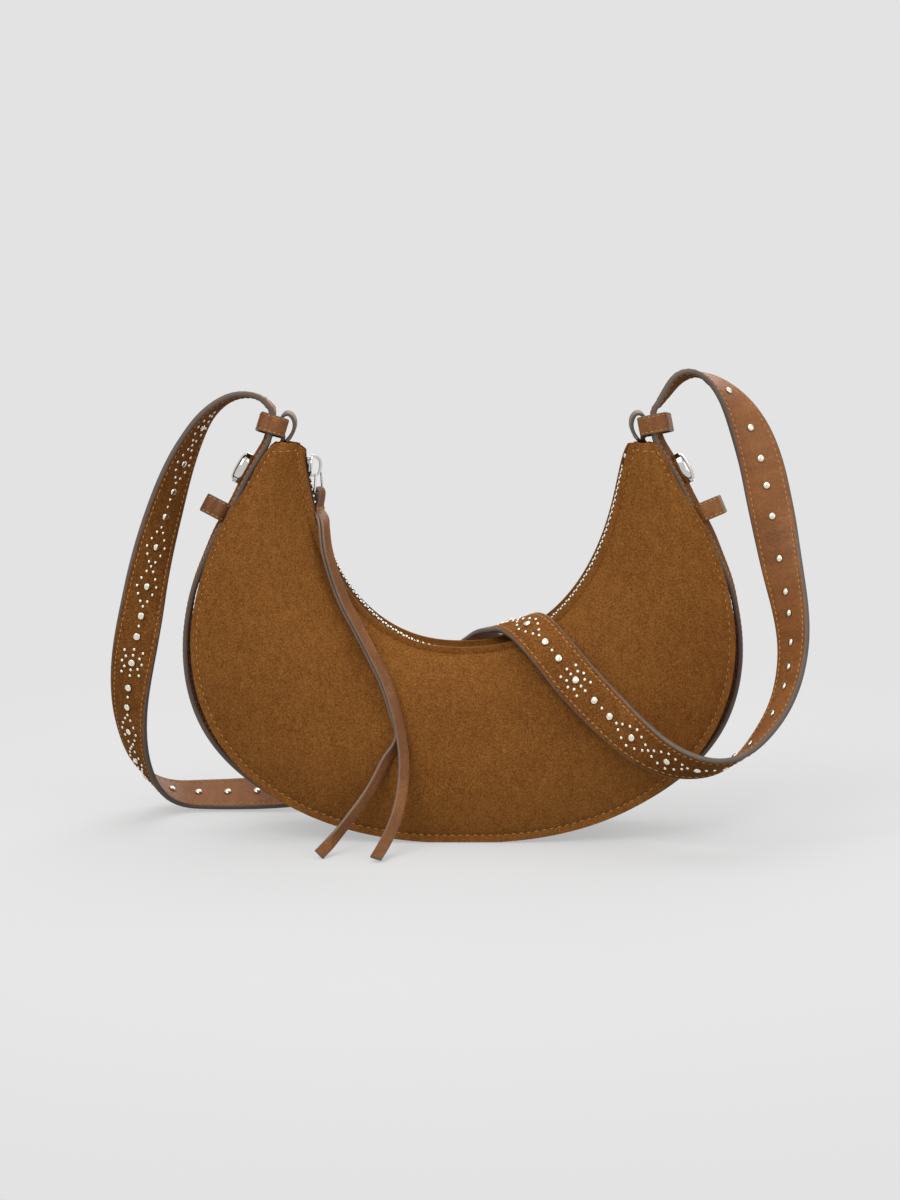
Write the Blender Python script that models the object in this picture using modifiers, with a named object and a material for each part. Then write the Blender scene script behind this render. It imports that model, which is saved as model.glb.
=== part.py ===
# A crescent shoulder bag of suede with a curved zip and one continuous studded strap,
# which runs under the bag as a belt and lies round it as a shoulder loop.
# Metres, +Z up. X runs along the bag, Y from its front to its back.
# The origin is on the ground under the middle of the bag.

import math

import bmesh
import bpy
import numpy as np
from mathutils import Matrix, Vector

# Bag body
bag_half_width = 0.148
bag_height = 0.218
widest_height = 0.1115
tip_outer_half_width = 0.1047
ground_gap = 0.0005
bottom_flat_drop = 0.0005
mouth_half_width = 0.0875
mouth_bottom_height = 0.1054
mouth_crown_height = 0.240
seam_half_depth = 0.028
tip_seam_half_depth = 0.0132
mouth_half_depth = 0.0104
tip_mouth_half_depth = 0.0110
panel_crown = 0.0125
panel_thickness = 0.0016
gusset_inset = 0.0027
gusset_thickness = 0.0014
seam_gap = 0.0005
lining_gap = 0.0004
lining_thickness = 0.0006
lower_roundness, upper_roundness, mouth_roundness = 2.25, 1.65, 2.3
depth_falloff = 1.3
seam_fullness, mouth_fullness = 0.8, 0.62

# Gap between pieces that touch
touch_gap = 0.0003

# Zip
zip_radius = 0.0857
zip_centre_below_tips = 0.0295
zip_end_margin = 0.0035
tape_half_width = 0.0070
tape_inner_half_width = 0.0018
tape_thickness = 0.0006
facing_thickness = 0.0010
facing_inner_half_width = 0.0048
tooth_pitch = 0.0034
tooth_length = 0.0013
tooth_past_middle = 0.0007
tooth_height = 0.0024
bead_width = 0.0008
stop_length = 0.0022

# Zip slider, its link and the folded thong
slider_length = 0.0110
slider_half_width = 0.0043
slider_plate_thickness = 0.0012
slider_channel_half_height = 0.0017
slider_flange_depth = 0.0008
slider_flange_thickness = 0.0008
slider_wedge_setback = 0.0004
slider_wedge_length = 0.0026
slider_wedge_half_width = 0.0010
slider_rise = 0.0170
bridge_length = 0.0108
bridge_hole_height = 0.0042
bridge_bar = 0.0016
bridge_width = 0.0022
bridge_roundness = 2.6
link_wire = 0.0012
link_top_width = 0.0058
link_bottom_width = 0.0090
link_length = 0.0125
link_twist_degrees = 26.0
thong_width = 0.0065
thong_thickness = 0.0016
thong_neck_length = 0.0070

# Strap
strap_width = 0.0245
strap_face_thickness = 0.0013
strap_lining_thickness = 0.0013
strap_step = 0.0082
strap_fine_reach = 0.0240
belt_swell = 0.0060
keeper_height = 0.0104
keeper_thickness = 0.0015
keeper_lean_degrees = 20.0
top_keeper_gap = 0.0028
top_keeper_reach = 0.0140
side_keeper_reach = 0.0164
strap_slack_in_keeper = 0.0005
tip_loop_width = 0.0160
tip_loop_thickness = 0.0018
side_keeper_below_tips = 0.0370

# Oval studs
oval_stud_length = 0.0175
oval_stud_width = 0.0115
oval_stud_rise = 0.0058
oval_stud_neck = 0.0006
stud_post_radius = 0.0016
stud_back_radius = 0.0040
stud_back_thickness = 0.0010
oval_stud_below_tips = 0.0160

cut_overrun = 0.0020

strap_thickness = strap_face_thickness + touch_gap + strap_lining_thickness
zip_centre_height = bag_height - zip_centre_below_tips
side_keeper_height = bag_height - side_keeper_below_tips
oval_stud_height = bag_height - oval_stud_below_tips

# Centre line and width direction of the shoulder strap between the two top keepers:
# x, y and z as shares of the bag's half width, seam half depth and height, then the width direction.
shoulder_route_shares = (
    (-0.720, 0.00, 1.102, (-0.04, 1.00, -0.09)),
    (-0.768, 0.00, 1.114, (-0.04, 0.99, -0.12)),
    (-0.818, 0.00, 1.116, (-0.03, 0.99, -0.14)),
    (-0.864, 0.00, 1.107, (0.01, 0.99, -0.15)),
    (-0.906, 0.00, 1.088, (0.07, 0.99, -0.16)),
    (-0.950, 0.00, 1.059, (0.18, 0.97, -0.15)),
    (-0.992, 0.00, 1.012, (0.32, 0.93, -0.20)),
    (-1.030, -0.04, 0.960, (0.43, 0.86, -0.28)),
    (-1.064, -0.08, 0.902, (0.55, 0.78, -0.30)),
    (-1.100, -0.11, 0.827, (0.67, 0.67, -0.31)),
    (-1.131, -0.14, 0.756, (0.76, 0.58, -0.30)),
    (-1.164, -0.17, 0.666, (0.85, 0.47, -0.25)),
    (-1.190, -0.17, 0.576, (0.94, 0.30, -0.16)),
    (-1.213, -0.14, 0.497, (1.00, 0.00, -0.04)),
    (-1.236, 0.00, 0.411, (0.94, -0.33, 0.04)),
    (-1.250, 0.21, 0.317, (0.79, -0.61, 0.03)),
    (-1.248, 0.50, 0.238, (0.65, -0.76, -0.02)),
    (-1.233, 0.86, 0.166, (0.54, -0.84, -0.09)),
    (-1.207, 1.25, 0.110, (0.45, -0.87, -0.18)),
    (-1.164, 1.64, 0.066, (0.37, -0.87, -0.32)),
    (-1.099, 1.93, 0.040, (0.30, -0.86, -0.42)),
    (-1.008, 2.02, 0.036, (0.28, -0.86, -0.43)),
    (-0.888, 2.02, 0.037, (0.26, -0.85, -0.46)),
    (-0.757, 2.00, 0.042, (0.26, -0.82, -0.51)),
    (-0.620, 1.97, 0.055, (0.30, -0.76, -0.58)),
    (-0.480, 1.92, 0.086, (0.40, -0.66, -0.64)),
    (-0.345, 1.84, 0.140, (0.55, -0.48, -0.68)),
    (-0.225, 1.74, 0.215, (0.72, -0.28, -0.63)),
    (-0.120, 1.63, 0.300, (0.86, -0.12, -0.48)),
    (-0.022, 1.47, 0.379, (0.94, -0.04, -0.26)),
    (0.069, 1.27, 0.442, (0.98, -0.02, -0.02)),
    (0.133, 0.80, 0.502, (0.97, 0.00, 0.24)),
    (0.175, 0.30, 0.528, (0.95, 0.00, 0.31)),
    (0.217, -0.27, 0.543, (0.95, 0.04, 0.33)),
    (0.263, -0.72, 0.531, (0.91, 0.14, 0.39)),
    (0.311, -0.97, 0.499, (0.84, 0.30, 0.42)),
    (0.358, -1.14, 0.463, (0.76, 0.24, 0.56)),
    (0.411, -1.33, 0.421, (0.72, 0.06, 0.68)),
    (0.472, -1.53, 0.381, (0.72, -0.02, 0.69)),
    (0.535, -1.73, 0.341, (0.70, -0.14, 0.69)),
    (0.600, -1.91, 0.302, (0.64, -0.30, 0.70)),
    (0.663, -2.06, 0.271, (0.54, -0.44, 0.72)),
    (0.722, -2.17, 0.250, (0.40, -0.56, 0.72)),
    (0.775, -2.26, 0.238, (0.25, -0.66, 0.70)),
    (0.828, -2.32, 0.231, (0.11, -0.76, 0.64)),
    (0.880, -2.35, 0.229, (0.05, -0.84, 0.54)),
    (0.932, -2.34, 0.233, (0.05, -0.90, 0.42)),
    (0.985, -2.28, 0.247, (0.10, -0.94, 0.30)),
    (1.037, -2.17, 0.273, (0.17, -0.96, 0.19)),
    (1.087, -2.02, 0.309, (0.24, -0.96, 0.14)),
    (1.134, -1.84, 0.352, (0.32, -0.94, 0.15)),
    (1.171, -1.64, 0.403, (0.41, -0.89, 0.19)),
    (1.194, -1.42, 0.459, (0.48, -0.85, 0.22)),
    (1.204, -1.22, 0.514, (0.54, -0.80, 0.24)),
    (1.201, -1.03, 0.570, (0.62, -0.74, 0.26)),
    (1.189, -0.86, 0.625, (0.71, -0.64, 0.27)),
    (1.172, -0.71, 0.683, (0.80, -0.54, 0.24)),
    (1.157, -0.58, 0.739, (0.88, -0.42, 0.21)),
    (1.139, -0.46, 0.806, (0.95, -0.25, 0.18)),
    (1.119, -0.36, 0.872, (0.99, -0.02, 0.15)),
    (1.098, -0.27, 0.938, (0.97, 0.16, 0.17)),
    (1.074, -0.20, 0.991, (0.93, 0.30, 0.19)),
    (1.040, -0.13, 1.046, (0.81, 0.56, 0.17)),
    (0.994, -0.06, 1.099, (0.59, 0.79, 0.12)),
    (0.938, 0.00, 1.139, (0.36, 0.93, 0.03)),
    (0.888, 0.00, 1.160, (0.20, 0.97, -0.08)),
    (0.844, 0.00, 1.170, (0.13, 0.97, -0.18)),
    (0.803, 0.00, 1.165, (0.15, 0.94, -0.29)),
    (0.771, 0.00, 1.146, (0.22, 0.91, -0.35)),
    (0.747, 0.00, 1.115, (0.20, 0.95, -0.24)),
    (0.722, 0.00, 1.094, (0.10, 0.99, -0.10)),
)

# Distance of the belt's centre line from the bag's outline, as shares of the belt's swell,
# at shares of the way from the bottom to a tip.
belt_distance_shares = (
    (0.00, -0.175), (0.13, -0.175), (0.30, 0.45), (0.50, 0.92), (0.70, 0.60), (0.84, 0.34), (1.00, 0.34),
)

# The tip loop's centre line seen along Y, in the top keeper's own directions: the distance from
# the strap's centre and the rise, as shares of the keeper's reach and of its height.
tip_loop_shares = (
    (0.54, -0.61), (0.45, -0.40), (0.42, -0.10), (0.43, 0.28), (0.48, 0.62), (0.60, 0.84),
    (0.77, 0.90), (0.95, 0.76), (1.07, 0.46), (1.10, 0.08), (1.01, -0.28), (0.94, -0.47),
)

# Centre line of the thong's front tail below the link: x, y and z as shares of the bag's
# half width, seam half depth and height, then the turn of the thong's face in degrees.
front_tail_shares = (
    (-0.506, -0.52, 0.803, -60.0), (-0.495, -0.63, 0.739, -54.0), (-0.466, -0.70, 0.668, -48.0),
    (-0.428, -0.77, 0.602, -43.0), (-0.375, -0.88, 0.536, -40.0), (-0.325, -1.01, 0.473, -38.0),
    (-0.280, -1.14, 0.412, -37.0), (-0.248, -1.25, 0.346, -37.0), (-0.225, -1.37, 0.277, -37.0),
    (-0.216, -1.52, 0.207, -35.0), (-0.225, -1.74, 0.142, -31.0), (-0.251, -2.00, 0.079, -25.0),
    (-0.291, -2.32, 0.030, -18.0), (-0.314, -2.64, 0.012, -15.0),
)

# The back tail lies against the front one for this many of its stations, then takes its own way.
shared_stations = 9
back_tail_shares = (
    (-0.277, -1.34, 0.226, -38.0), (-0.338, -1.52, 0.151, -39.0), (-0.412, -1.77, 0.085, -39.0),
    (-0.481, -2.05, 0.033, -38.0), (-0.520, -2.34, 0.012, -37.0),
)

colours = {
    "panel_suede": ((0.205, 0.075, 0.016), 0.95, 0.0),
    "gusset_suede": ((0.170, 0.060, 0.014), 0.95, 0.0),
    "strap_suede": ((0.190, 0.070, 0.018), 0.92, 0.0),
    "smooth_leather": ((0.290, 0.110, 0.035), 0.45, 0.0),
    "edge_leather": ((0.130, 0.085, 0.060), 0.55, 0.0),
    "lining_cloth": ((0.420, 0.300, 0.190), 0.85, 0.0),
    "zip_tape": ((0.120, 0.055, 0.020), 0.85, 0.0),
    "polished_nickel": ((0.760, 0.740, 0.700), 0.12, 1.0),
    "pale_metal": ((0.800, 0.720, 0.560), 0.20, 1.0),
}


def clear_scene():
    for old in list(bpy.data.objects):
        bpy.data.objects.remove(old, do_unlink=True)


def make_collection(name):
    collection = bpy.data.collections.new(name)
    bpy.context.scene.collection.children.link(collection)
    return collection


def make_material(name):
    colour, roughness, metallic = colours[name]
    material = bpy.data.materials.get(name) or bpy.data.materials.new(name)
    material.use_nodes = True
    shader = material.node_tree.nodes["Principled BSDF"]
    shader.inputs["Base Color"].default_value = (*colour, 1.0)
    shader.inputs["Roughness"].default_value = roughness
    shader.inputs["Metallic"].default_value = metallic
    return material


def add_object(name, mesh, material, collection):
    part = bpy.data.objects.new(name, mesh)
    collection.objects.link(part)
    if material:
        mesh.materials.append(make_material(material))
    return part


def sheet_object(name, grid, thickness, material, collection):
    """A grid of points made a sheet, thickened on the side its normals leave."""
    grid = np.asarray(grid, float)
    rows, columns = grid.shape[:2]
    shape = bmesh.new()
    verts = [[shape.verts.new(grid[i, j]) for j in range(columns)] for i in range(rows)]
    for i in range(rows - 1):
        for j in range(columns - 1):
            shape.faces.new((verts[i][j], verts[i + 1][j], verts[i + 1][j + 1]))
            shape.faces.new((verts[i][j], verts[i + 1][j + 1], verts[i][j + 1]))
    mesh = bpy.data.meshes.new(name)
    shape.to_mesh(mesh)
    shape.free()
    part = add_object(name, mesh, material, collection)
    solid = part.modifiers.new("thickness", "SOLIDIFY")
    solid.thickness = thickness
    solid.offset = 1.0
    solid.use_even_offset = True
    solid.use_quality_normals = True
    return part


def unit(vectors):
    return vectors / np.linalg.norm(vectors, axis=-1, keepdims=True)


def lengths_along(points):
    steps = np.linalg.norm(np.diff(points, axis=0), axis=1)
    return np.concatenate(([0.0], np.cumsum(steps)))


def resample(points, count):
    """The same line with its points at even distances."""
    along = lengths_along(points)
    places = np.linspace(0.0, along[-1], count)
    return np.stack([np.interp(places, along, points[:, k]) for k in range(points.shape[1])], axis=1)


def smooth_through(points, per_span):
    """A smooth line through unevenly spaced points; the first three columns are the place."""
    points = np.asarray(points, float)
    spans = np.linalg.norm(np.diff(points[:, :3], axis=0), axis=1)[:, None]
    slopes = np.diff(points, axis=0) / spans
    inner = (slopes[:-1] * spans[1:] + slopes[1:] * spans[:-1]) / (spans[1:] + spans[:-1])
    tangents = np.vstack([slopes[:1], inner, slopes[-1:]])
    line = []
    for k, span in enumerate(spans):
        a, b = points[k], points[k + 1]
        first, last = tangents[k] * span, tangents[k + 1] * span
        for t in np.linspace(0.0, 1.0, per_span, endpoint=False):
            rest = 1 - t
            line.append(a * rest**2 * (1 + 2 * t) + b * t**2 * (3 - 2 * t)
                        + first * t * rest**2 - last * t**2 * rest)
    line.append(points[-1])
    return np.array(line)


def superellipse(angles, half_width, half_height, roundness):
    """x and z of a superellipse about its own centre."""
    across, rise = np.cos(angles), np.sin(angles)
    x = half_width * np.sign(across) * np.abs(across) ** (2 / roundness)
    z = half_height * np.sign(rise) * np.abs(rise) ** (2 / roundness)
    return np.stack([x, z], axis=1)


def outer_outline(count):
    """The bag's convex side from the left tip round the bottom to the right tip, as x and z."""
    reach = tip_outer_half_width / bag_half_width
    upper_rise = (bag_height - widest_height) / (1 - reach**upper_roundness) ** (1 / upper_roundness)
    fine = 240
    tip_angle = math.acos(reach ** (upper_roundness / 2))
    left = superellipse(np.linspace(math.pi - tip_angle, math.pi, fine), bag_half_width, upper_rise,
                        upper_roundness)
    drop = widest_height - ground_gap + bottom_flat_drop
    lower = superellipse(np.linspace(math.pi, 2 * math.pi, 2 * fine), bag_half_width, drop, lower_roundness)
    right = left[::-1] * np.array([-1.0, 1.0])
    line = np.vstack([left, lower[1:-1], right])
    line[:, 1] = np.maximum(line[:, 1] + widest_height, ground_gap)
    return resample(line, count)


def mouth_outline(count):
    """The panels' concave edge from the left tip to the right tip, as x and z."""
    drop = mouth_crown_height - mouth_bottom_height
    level = (bag_height - mouth_crown_height) / drop
    tip_angle = math.asin(-(abs(level) ** (mouth_roundness / 2)))
    angles = np.linspace(math.pi - tip_angle, 2 * math.pi + tip_angle, 600)
    line = superellipse(angles, mouth_half_width, drop, mouth_roundness)
    line[:, 1] += mouth_crown_height
    return resample(line, count)


def seam_depth_at(height):
    """Half the bag's depth at its outer seam."""
    rise = np.clip(height / bag_height, 0.0, 1.0)
    return seam_half_depth - (seam_half_depth - tip_seam_half_depth) * rise**depth_falloff


def mouth_depth_at(height):
    """Half the bag's depth at the edge of the mouth."""
    rise = np.clip((height - mouth_bottom_height) / (bag_height - mouth_bottom_height), 0.0, 1.0)
    return mouth_half_depth - (mouth_half_depth - tip_mouth_half_depth) * rise


def panel_grid(columns, first_inset, last_inset, rows, sink):
    """Points of the back panel's outer surface from the outer seam to the mouth, sunk inwards."""
    outer, mouth = outer_outline(columns), mouth_outline(columns)
    width = np.linalg.norm(mouth - outer, axis=1)
    widest = width.max()
    depth_out = seam_depth_at(outer[:, 1])
    depth_in = mouth_depth_at(mouth[:, 1])
    rim = (gusset_inset + gusset_thickness + seam_gap) / width
    crown = panel_crown * width / widest
    start, stop = first_inset / width, 1 - last_inset / width
    grid = np.zeros((rows, columns, 3))
    for row, place in enumerate(np.linspace(0.0, 1.0, rows)):
        share = start + (stop - start) * (0.5 - 0.5 * math.cos(math.pi * place))
        flat = np.clip((share - rim) / (1 - 2 * rim), 0.0, 1.0)
        fullness = np.where(flat < 0.5, seam_fullness, mouth_fullness)
        swell = crown * np.sin(math.pi * flat) ** fullness
        grid[row, :, 0] = outer[:, 0] + (mouth[:, 0] - outer[:, 0]) * share
        grid[row, :, 2] = outer[:, 1] + (mouth[:, 1] - outer[:, 1]) * share
        grid[row, :, 1] = depth_out + (depth_in - depth_out) * flat + swell
    if sink:
        along = np.gradient(grid, axis=1)
        across = np.gradient(grid, axis=0)
        inward = unit(np.cross(across, along))
        inward *= -np.sign(inward[..., 1:2])
        grid = grid + inward * sink
    return grid


def to_front(grid):
    """The same grid mirrored from the back to the front of the bag."""
    return grid * np.array([1.0, -1.0, 1.0])


def build_panels(collection):
    back = panel_grid(37, 0.0, 0.0, 8, 0.0)
    sheet_object("back_panel", back[::-1], -panel_thickness, "panel_suede", collection)
    sheet_object("front_panel", to_front(back), -panel_thickness, "panel_suede", collection)


def build_linings(collection):
    first = gusset_inset + gusset_thickness + seam_gap + lining_gap + 2 * lining_thickness
    back = panel_grid(25, first, first, 5, panel_thickness + lining_gap)
    back[..., 2] = np.minimum(back[..., 2], bag_height - gusset_inset - gusset_thickness - 2 * lining_gap)
    sheet_object("lining_back", back, lining_thickness, "lining_cloth", collection)
    sheet_object("lining_front", to_front(back)[::-1], lining_thickness, "lining_cloth", collection)


def offset_line(line, distance):
    """A line moved towards the side that lies to its right as it is followed, in x and z."""
    direction = unit(np.gradient(line, axis=0))
    return line + np.stack([direction[:, 1], -direction[:, 0]], axis=1) * distance


def kept_below(line, level, count):
    """The stretch of a line under a level, ending on that level, at even distances."""
    inside = np.flatnonzero(line[:, 1] < level)
    ends = []
    for k, other in ((inside[0], inside[0] - 1), (inside[-1], inside[-1] + 1)):
        if 0 <= other < len(line):
            share = (level - line[k, 1]) / (line[other, 1] - line[k, 1])
            ends.append(line[k] + (line[other] - line[k]) * share)
        else:
            ends.append(line[k])
    return resample(np.vstack([ends[0], line[inside[0] + 1:inside[-1]], ends[1]]), count)


def inset_outline(count, inset):
    """The outer outline moved into the bag, kept below the tips' top edges."""
    return kept_below(offset_line(outer_outline(4 * count), -inset), bag_height - inset, count)


def band_along(line, half_depths):
    """A sheet of points along a line in x and z, from the front to the back."""
    return np.stack([np.column_stack([line[:, 0], side * half_depths, line[:, 1]]) for side in (-1, 1)])


def build_gussets(collection):
    tip_edge_inset = gusset_inset + gusset_thickness
    line = inset_outline(57, gusset_inset)
    corner_x = mouth_outline(3)[-1, 0] + tip_edge_inset
    caps = np.array([[corner_x, bag_height - gusset_inset]])
    line = np.vstack([caps * np.array([-1.0, 1.0]), line, caps])
    depth = seam_depth_at(line[:, 1]) - panel_thickness - seam_gap
    sheet_object("outer_gusset", band_along(line, depth), -gusset_thickness, "gusset_suede", collection)
    inner = inset_outline(33, gusset_inset + gusset_thickness + lining_gap)
    inner = kept_below(inner, bag_height - gusset_inset - 2 * gusset_thickness, len(inner))
    depth = seam_depth_at(inner[:, 1]) - panel_thickness - seam_gap - lining_gap
    sheet_object("lining_gusset", band_along(inner, depth), -lining_thickness, "lining_cloth", collection)


def zip_point(angle, radius=zip_radius):
    """x and z on the zip's circle; the angle is counted from the left and runs down."""
    return np.array([-radius * math.cos(angle), zip_centre_height - radius * math.sin(angle)])


def zip_end_angle():
    """The angle above the level of the zip's centre where the tapes end under the tips' top edges."""
    return math.asin((bag_height - gusset_inset - zip_end_margin - zip_centre_height) / zip_radius)


def zip_line(count, radius):
    end = zip_end_angle()
    return np.array([zip_point(a, radius) for a in np.linspace(-end, math.pi + end, count)])


def build_mouth(collection):
    """The facings from the panels' edges to the zip, and the two zip tapes."""
    columns = 41
    level = zip_line(columns, zip_radius - tape_thickness / 2 - touch_gap)
    edge = mouth_outline(4 * columns)
    edge = offset_line(edge, seam_gap + facing_thickness)
    edge = kept_below(edge, level[0, 1], columns)
    depth = mouth_depth_at(edge[:, 1]) - panel_thickness - seam_gap
    side_depth = np.minimum(tape_half_width + touch_gap, depth)
    rows = [
        np.column_stack([edge[:, 0], depth, edge[:, 1]]),
        np.column_stack([level[:, 0], side_depth, level[:, 1]]),
        np.column_stack([level[:, 0], np.full(columns, facing_inner_half_width), level[:, 1]]),
    ]
    back = np.stack(rows)
    sheet_object("mouth_facing_back", back, facing_thickness, "smooth_leather", collection)
    sheet_object("mouth_facing_front", to_front(back)[::-1], facing_thickness, "smooth_leather", collection)
    line = zip_line(columns, zip_radius + tape_thickness / 2)
    rows = [np.column_stack([line[:, 0], np.full(columns, y), line[:, 1]])
            for y in (tape_half_width, tape_inner_half_width)]
    back = np.stack(rows)
    sheet_object("zip_tape_back", back, tape_thickness, "zip_tape", collection)
    sheet_object("zip_tape_front", to_front(back)[::-1], tape_thickness, "zip_tape", collection)


def add_box(shape, size, matrix):
    """A box of that size at the matrix's place, added to the bmesh."""
    made = bmesh.ops.create_cube(shape, size=1.0)
    scale = Matrix.Diagonal((*size, 1.0))
    bmesh.ops.transform(shape, matrix=matrix @ scale, verts=made["verts"])
    return made["verts"]


def zip_frame(angle, radius):
    """Axes at a place on the zip: x along the travel, y towards the back, z towards the mouth's middle."""
    x, z = zip_point(angle, radius)
    along = Vector((math.sin(angle), 0.0, -math.cos(angle)))
    inward = Vector((math.cos(angle), 0.0, math.sin(angle)))
    depth = inward.cross(along)
    frame = Matrix((along, depth, inward)).transposed().to_4x4()
    frame.translation = Vector((x, 0.0, z))
    return frame


def slider_angle():
    return -math.asin(slider_rise / zip_radius)


def comb_grid(side, first, last):
    """Rows of points across half the zip: the bead on the tape's edge, and the teeth's tips."""
    count = int((last - first) * zip_radius / tooth_pitch)
    shift = 0.25 if side < 0 else 0.75
    angles = []
    for k in range(count):
        middle = first + (k + shift) * tooth_pitch / zip_radius
        half = tooth_length / 2 / zip_radius
        angles += [middle - half, middle + half]
    outside = tape_inner_half_width - touch_gap
    rows = []
    for across in (outside, outside - bead_width, -tooth_past_middle):
        rows.append([(x, side * across, z) for x, z in
                     (zip_point(a, zip_radius + tooth_height / 2) for a in angles)])
    return rows


def build_teeth(collection):
    """Two combs in mesh: the bead that holds a row of teeth, whose tips pass the middle."""
    first = slider_angle() + (slider_length / 2 + touch_gap) / zip_radius
    last = math.pi + zip_end_angle() - 2 * stop_length / zip_radius
    for name, side in (("zip_teeth_front", -1), ("zip_teeth_back", 1)):
        rows = comb_grid(side, first, last)
        shape = bmesh.new()
        bead = [[shape.verts.new(point) for point in row] for row in rows[:2]]
        columns = len(rows[0])
        for k in range(columns - 1):
            shape.faces.new((bead[0][k], bead[0][k + 1], bead[1][k + 1], bead[1][k]))
            if k % 2 == 0:
                tips = [shape.verts.new(rows[2][k + j]) for j in (0, 1)]
                shape.faces.new((bead[1][k], bead[1][k + 1], tips[1], tips[0]))
        if side > 0:
            bmesh.ops.reverse_faces(shape, faces=shape.faces)
        mesh = bpy.data.meshes.new(name)
        shape.to_mesh(mesh)
        shape.free()
        part = add_object(name, mesh, "pale_metal", collection)
        solid = part.modifiers.new("height", "SOLIDIFY")
        solid.thickness = tooth_height
        solid.offset = 1.0


def build_stops(collection):
    """The stop at the closed end and the one at the open end, each clamped over both tapes."""
    end = zip_end_angle()
    places = {"zip_end_stop": math.pi + end - stop_length / zip_radius}
    for name, angle in places.items():
        shape = bmesh.new()
        frame = zip_frame(angle, zip_radius)
        add_box(shape, (stop_length, 2 * (tape_inner_half_width - touch_gap), tooth_height), frame)
        mesh = bpy.data.meshes.new(name)
        shape.to_mesh(mesh)
        shape.free()
        add_object(name, mesh, "polished_nickel", collection)


def ring_outline(half_length, height, count):
    """Half a superellipse over its base, as points along x and z."""
    points = superellipse(np.linspace(0.0, math.pi, count), half_length, height, bridge_roundness)
    return [(x, 0.0, z) for x, z in points]


def bridge_mesh(frame, base):
    """The slider's arch, extruded across the zip from its outline."""
    outer = ring_outline(bridge_length / 2, bridge_hole_height + bridge_bar, 13)
    inner = ring_outline(bridge_length / 2 - bridge_bar, bridge_hole_height, 13)
    shape = bmesh.new()
    sides = []
    for side in (-1, 1):
        shift = Vector((0.0, side * bridge_width / 2, base))
        sides.append([[shape.verts.new(frame @ (Vector(p) + shift)) for p in ring] for ring in (outer, inner)])
    (near_out, near_in), (far_out, far_in) = sides
    count = len(outer)
    for k in range(count - 1):
        shape.faces.new((near_out[k], near_out[k + 1], near_in[k + 1], near_in[k]))
        shape.faces.new((far_in[k], far_in[k + 1], far_out[k + 1], far_out[k]))
        shape.faces.new((near_out[k + 1], near_out[k], far_out[k], far_out[k + 1]))
        shape.faces.new((near_in[k], near_in[k + 1], far_in[k + 1], far_in[k]))
    for k in (0, count - 1):
        shape.faces.new((near_out[k], near_in[k], far_in[k], far_out[k]))
    bmesh.ops.recalc_face_normals(shape, faces=shape.faces)
    mesh = bpy.data.meshes.new("bridge")
    shape.to_mesh(mesh)
    shape.free()
    return mesh


def join_solid(part, mesh, tools, operation):
    """Joins a mesh to a part, or cuts it away, as an exact Boolean."""
    tool = add_object(part.name + "_" + mesh.name, mesh, None, tools)
    tool.hide_render = True
    tool.display_type = "WIRE"
    boolean = part.modifiers.new(mesh.name, "BOOLEAN")
    boolean.operation = operation
    boolean.object = tool


def box_mesh(name, size, matrix):
    shape = bmesh.new()
    add_box(shape, size, matrix)
    mesh = bpy.data.meshes.new(name)
    shape.to_mesh(mesh)
    shape.free()
    return mesh


def build_slider(collection, tools):
    """A block cut through for the chain, its sides slit for the tapes, with the wedge and the arch."""
    frame = zip_frame(slider_angle(), zip_radius)
    level = slider_channel_half_height + slider_plate_thickness
    block = (slider_length, 2 * slider_half_width, 2 * level)
    part = add_object("zip_slider", box_mesh("zip_slider", block, frame), "polished_nickel", collection)
    through = slider_length + 2 * cut_overrun
    channel = (through, 2 * (slider_half_width - slider_flange_thickness), 2 * slider_channel_half_height)
    join_solid(part, box_mesh("channel", channel, frame), tools, "DIFFERENCE")
    slit = (through, 2 * (slider_half_width + cut_overrun),
            2 * (slider_channel_half_height - slider_flange_depth))
    join_solid(part, box_mesh("slit", slit, frame), tools, "DIFFERENCE")
    wedge = (slider_wedge_length, 2 * slider_wedge_half_width,
             2 * slider_channel_half_height + slider_plate_thickness)
    place = Matrix.Translation((slider_wedge_setback + (slider_wedge_length - slider_length) / 2, 0, 0))
    join_solid(part, box_mesh("wedge", wedge, frame @ place), tools, "UNION")
    base = slider_channel_half_height + slider_plate_thickness / 2
    join_solid(part, bridge_mesh(frame, base), tools, "UNION")


def link_pivot():
    """The middle of the link's top bar, low in the slider's arch."""
    frame = zip_frame(slider_angle(), zip_radius)
    clearance = link_wire / 2 + touch_gap
    rest = slider_channel_half_height + slider_plate_thickness / 2 + bridge_hole_height - clearance
    askew = bridge_width / 2 * math.tan(math.radians(link_twist_degrees))
    lower_end = bridge_length / 2 - 2 * bridge_bar - clearance - askew
    return frame @ Vector((lower_end, 0.0, rest - touch_gap))


def link_bar_direction():
    twist = math.radians(link_twist_degrees)
    return Vector((math.sin(twist), math.cos(twist), 0.0))


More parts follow.
